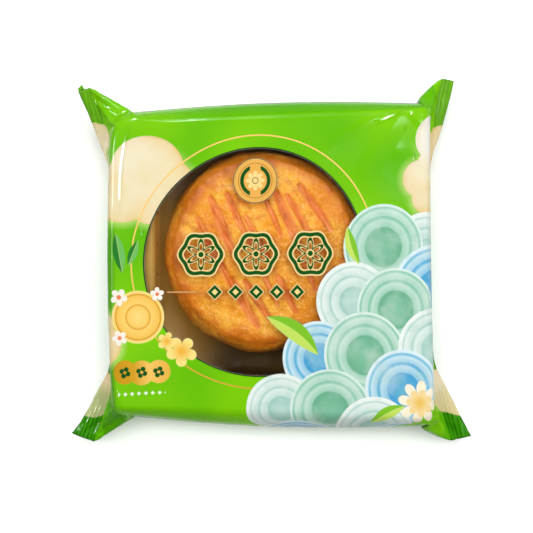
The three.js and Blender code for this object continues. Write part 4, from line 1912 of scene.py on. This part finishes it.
@dataclass
class Cake:
    """The round cake: a slightly uneven drum with a domed top, slashed across."""

    centre: Plan = (-2.0, 2.9)
    radius: float = 30.0
    rings: int = 132
    spokes: int = 420
    seed: int = 11
    fleck_density: float = 260000.0  # a square metre
    fleck_size: float = 0.11
    foot: float = 2.45  # the lowest height of its underside
    profile: tuple[Plan, ...] = (
        (0.1, 2.5), (0.8, 2.5), (0.93, 3.0), (0.985, 6.0), (1.0, 9.5), (0.995, 12.8),
        (0.972, 15.4), (0.945, 16.9), (0.925, 17.5), (0.895, 18.15), (0.8, 18.65), (0.6, 19.05),
        (0.4, 19.35), (0.2, 19.5), (0.03, 19.55),
    )
    slashes: tuple[Slash, ...] = (
        Slash((-22.4, 13.4), (-18.4, 5.0), (-15.4, -3.0), 2.6),
        Slash((-18.6, 19.8), (-15.0, 11.0), (-11.0, 1.0), 3.2),
        Slash((-13.6, 21.0), (-10.6, 13.0), (-6.0, 4.6), 2.6),
        Slash((-8.2, 14.0), (-4.6, 6.6), (0.4, -1.4), 2.4),
        Slash((-16.6, 3.0), (-13.0, -6.0), (-8.6, -13.0), 2.0),
        Slash((0.8, 21.6), (5.0, 12.0), (9.4, 2.0), 3.4),
        Slash((4.2, 20.4), (8.6, 12.6), (13.0, 5.0), 2.4),
        Slash((7.6, 23.4), (12.6, 17.2), (18.2, 8.4), 2.8),
        Slash((-12.6, -4.4), (-8.6, -12.4), (-3.6, -20.4), 3.2),
        Slash((-8.4, -5.0), (-4.4, -12.0), (0.2, -18.4), 2.8),
        Slash((-3.4, -2.0), (-1.0, -7.4), (2.0, -13.6), 1.8),
        Slash((1.4, -4.0), (4.6, -9.8), (7.6, -16.0), 2.4),
        Slash((8.6, 1.0), (11.4, -4.4), (13.6, -9.6), 2.0),
        Slash((-3.0, 21.0), (0.2, 14.0), (3.0, 7.0), 1.8),
    )

    def drum(self) -> tuple[Array, Array]:
        """The smooth drum's points by ring and spoke, and the directions out of it."""
        knots = np.array(self.profile)
        fine = spline(knots, np.linspace(0, len(knots) - 1, 900), closed=False)
        curve = evenly(fine * (self.radius, 1.0), self.rings)
        slope = np.gradient(curve, axis=0)
        slope /= np.linalg.norm(slope, axis=1, keepdims=True)
        turns = np.linspace(0, math.tau, self.spokes, endpoint=False)
        uneven = 1 + 0.007 * np.cos(3 * turns + 0.6) + 0.006 * np.cos(5 * turns + 2.1)
        uneven += 0.004 * np.cos(8 * turns)
        sides = np.stack([np.cos(turns), np.sin(turns)], axis=-1)
        points = np.zeros((self.rings, self.spokes, 3))
        points[..., :2] = self.centre + curve[:, None, :1] * (uneven[:, None] * sides)
        points[..., 2] = curve[:, 1:]
        out = np.zeros_like(points)
        out[..., :2] = slope[:, None, 1:] * sides
        out[..., 2] = -slope[:, :1]
        return points, out

    def cuts(self, points: Array) -> tuple[Array, Array]:
        """How much each point belongs to a cut, and how far the cuts swell the crust or sink it.

        Args:
            points: the drum's points, one a row.

        Returns:
            The share of a cut, from 0 to 1, and the rise.
        """
        cut, rise = np.zeros(len(points)), np.zeros(len(points))
        for slash in self.slashes:
            off, along = slash.place(points[:, :2])
            held = smooth_step(-0.02, 0.06, along) * (1 - smooth_step(0.94, 1.02, along))
            cut = np.maximum(cut, (1 - smooth_step(0.4, 1.3, off)) * held)
            lip = 0.1 * np.exp(-((off - 1.35) ** 2) * 5)
            rise += (lip - slash.depth * np.exp(-(off**2) * 1.2)) * held
        return cut, rise

    def surface(self) -> tuple[Array, Array, Array]:
        """The cake's rings of points and two marks for each: cut, and nearness to the shoulder."""
        points, out = self.drum()
        flat = points.reshape(-1, 3)
        on_top = smooth_step(16.8, 18.4, flat[:, 2])
        fold = np.exp(-(((flat[:, 2] - 17.3) / 0.55) ** 2))
        cut, rise = self.cuts(flat)
        coarse, middling, grain = (
            value_noise(flat, size, self.seed + k) for k, size in enumerate((5.5, 1.9, 0.8))
        )
        rough = 0.42 * coarse + (0.2 * middling + 0.09 * grain) * (1 - 0.75 * cut)
        relief = rough + rise * on_top - 0.3 * fold * (0.6 + 0.4 * coarse)
        points = points + out * relief.reshape(self.rings, self.spokes, 1)
        points[..., 2] = np.maximum(points[..., 2], self.foot)
        away = np.linalg.norm(points[..., :2] - self.centre, axis=-1).ravel() / self.radius
        shoulder = smooth_step(0.75, 0.99, away + 0.05 * middling + 0.03 * coarse)
        shoulder = np.maximum(shoulder * on_top, 0.3 * (1 - on_top) + 0.35 * fold)
        return points, cut * on_top, shoulder

    def fleck_tree(self) -> bpy.types.NodeTree:
        """Geometry nodes that scatter crumbs over a surface."""
        tree = GeometryTree("crust_flecks", ("Density", "Size"))
        given = tree.given
        spread = {"Mesh": given["Geometry"], "Density": given["Density"], "Seed": given["Seed"]}
        cast = tree.read("GeometryNodeDistributePointsOnFaces", spread)
        crumb = tree.read("GeometryNodeMeshIcoSphere", {"Radius": given["Size"], "Subdivisions": 1})
        turn = tree.random((0.0, 0.0, 0.0), (math.tau, math.tau, math.tau))
        return tree.end(cast, crumb, turn, tree.random((0.5, 0.5, 0.3), (1.7, 1.2, 0.9)))

    def flecks(self, points: Array, material: bpy.types.Material) -> bpy.types.Object:
        """Crumbs on the top of the crust.

        Args:
            points: the cake's rings of points.
            material: the crumbs' material.

        Returns:
            The crumbs, as one piece.
        """
        inner = int(self.rings * 0.62)
        top = points[inner:]
        base = mesh_piece("crust_top", top.reshape(-1, 3), tube_faces(len(top), self.spokes))
        sizes = {
            "Density": self.fleck_density,
            "Size": self.fleck_size * MM,
            "Seed": self.seed,
            "Material": material,
        }
        return grown("crust_flecks", base, self.fleck_tree(), sizes)

    def build(self) -> list[bpy.types.Object]:
        """The cake and its crumbs, dressed."""
        points, cut, shoulder = self.surface()
        ends = tuple((*self.centre, points[k, :, 2].mean()) for k in (0, -1))
        values = (np.append(cut, [0.0, cut[-self.spokes:].mean()]), np.append(shoulder, [0.0, 0.0]))
        cake = closed_loft("cake", list(points), ends, dict(zip(CAKE_MARKS, values)))
        finish = Crust()
        cake.data.materials.append(finish.make())
        return [cake, self.flecks(points, finish.make_fleck())]


# ---- The studio --------------------


@dataclass(frozen=True)
class Lamp:
    """One soft light.

    Attributes:
        name: what it is for.
        place: where it stands, in metres, facing the pack.
        size: its width and height, in metres.
        power: in watts.
        lights: whether it lights matt surfaces.
        shines: whether glossy surfaces reflect it.
    """

    name: str
    place: Point
    size: Plan
    power: float
    lights: bool = True
    shines: bool = True


@dataclass
class Studio:
    """A pale floor, soft lights and a camera that looks straight down on the window face."""

    pixel: float = 0.3  # millimetres of the window face
    frame: float = 533.0
    pack_at: Plan = (271.6, 260.8)  # the pack's middle in the frame
    camera_height: float = 1.4
    sensor: float = 36.0
    face_height: float = 0.012  # the level at which a pixel has that size
    world_strength: float = 0.06
    floor_size: float = 6.0
    floor_glow: float = 0.1
    lamps: tuple[Lamp, ...] = (
        Lamp("overhead_left", (-0.5, 0.1, 1.3), (0.6, 0.9), 7.5, shines=False),
        Lamp("overhead_right", (0.5, 0.1, 1.3), (0.6, 0.9), 7.5, shines=False),
        Lamp("back_panel", (0.1, 0.98, 1.08), (1.2, 0.5), 13.8, shines=False),
        Lamp("left_panel", (-1.2, 0.1, 0.7), (0.5, 1.4), 5.6, shines=False),
        Lamp("right_panel", (1.2, 0.0, 0.6), (0.5, 1.4), 6.0, shines=False),
        Lamp("front_panel", (0.1, -1.2, 0.6), (1.4, 0.4), 1.6, shines=False),
        Lamp("left_spot", (-0.98, 0.138, 0.72), (0.28, 0.14), 10.0, lights=False),
        Lamp("back_strip", (-0.2, 0.81, 0.71), (0.14, 0.6), 19.0, lights=False),
        Lamp("right_strip", (0.55, 0.3, 1.0), (0.05, 0.3), 1.5, lights=False),
        Lamp("sheen", (0.3, 0.24, 1.25), (0.2, 0.26), 1.4, lights=False),
    )

    def hang(self, lamp: Lamp) -> None:
        """Adds one lamp, turned towards the pack.

        Args:
            lamp: the lamp.
        """
        data = bpy.data.lights.new(lamp.name, "AREA")
        data.shape = "RECTANGLE"
        data.size, data.size_y = lamp.size
        data.energy = lamp.power
        made = linked(lamp.name, data)
        made.location = lamp.place
        made.rotation_euler = (-Vector(lamp.place)).to_track_quat("-Z", "Y").to_euler()
        made.visible_diffuse = lamp.lights
        made.visible_glossy = lamp.shines

    def camera(self) -> None:
        """Places the camera over the frame's middle."""
        x = (self.frame / 2 - self.pack_at[0]) * self.pixel * MM
        y = (self.pack_at[1] - self.frame / 2) * self.pixel * MM
        data = bpy.data.cameras.new("camera")
        data.sensor_width = self.sensor
        reach = self.camera_height - self.face_height
        data.lens = self.sensor * reach / (self.frame * self.pixel * MM)
        data.clip_start, data.clip_end = 0.05, 20.0
        made = linked("camera", data)
        made.location = (x, y, self.camera_height)
        bpy.context.scene.camera = made

    def floor(self) -> None:
        """The pale floor, which glossy rays see as a painted grey, lighter near the pack, so that its
        reflection in the film's edges is set.
        """
        half = self.floor_size / 2
        mesh = bpy.data.meshes.new("floor")
        corners = [(-half, -half, 0), (half, -half, 0), (half, half, 0), (-half, half, 0)]
        mesh.from_pydata(corners, [], [(0, 1, 2, 3)])
        floor = linked("floor", mesh)
        material, graph, shader = new_material("floor_paint")
        # painted reflection: to glossy rays the floor is grey, lighter within a band round the pack
        seen = graph.read("ShaderNodeLightPath", {}, "Is Glossy Ray")
        x, y, _ = graph.parts(graph.place())
        near = graph.rise(graph.math("MAXIMUM", abs(x), abs(y)), 64.0 * MM, 55.0 * MM)
        mirrored = graph.mix((0.12, 0.12, 0.12), (0.5, 0.5, 0.5), near)
        graph.feed(shader, {
            "Base Color": graph.mix((0.96, 0.96, 0.96), mirrored, seen),
            "Roughness": 0.95,
            "Specular IOR Level": 0.1,
            "Emission Color": (1.0, 1.0, 1.0),
            "Emission Strength": self.floor_glow,
        })
        mesh.materials.append(material)

    def build(self) -> None:
        """Builds the studio round the pack."""
        scene = bpy.context.scene
        world = bpy.data.worlds.new("studio")
        scene.world = world
        world.use_nodes = True
        background = world.node_tree.nodes["Background"]
        background.inputs["Color"].default_value = (1.0, 1.0, 1.0, 1.0)
        background.inputs["Strength"].default_value = self.world_strength
        scene.view_settings.view_transform = "Standard"
        self.camera()
        self.floor()
        for lamp in self.lamps:
            self.hang(lamp)


@dataclass
class MooncakePack:
    """The whole pack: film, back seam, tray and cake, all fixed to the one body."""

    printed_film: PrintedFilm = field(default_factory=PrintedFilm)
    tray: Tray = field(default_factory=Tray)
    cake: Cake = field(default_factory=Cake)
    back_seam: BackSeam = field(default_factory=BackSeam)

    def build(self) -> None:
        """Builds every piece and fixes it to the frame."""
        ink_and_film = self.printed_film.make()
        sheet = FilmSheet(BodyForm())
        film = FilmSkin(sheet).build(sheet.relaxed(), ink_and_film)
        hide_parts(NODE)
        seam = self.back_seam.build(ink_and_film)
        for piece in (film, seam, *self.tray.build(), *self.cake.build()):
            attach(piece, BODY)
            LOG.info("%s: %d faces", piece.name, len(piece.data.polygons))


def main() -> None:
    """Loads the frame and builds the pack and the studio, logging each piece's face count."""
    logging.basicConfig(level=logging.INFO, format="%(message)s")
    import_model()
    MooncakePack().build()
    Studio().build()


if __name__ == "__main__":
    main()
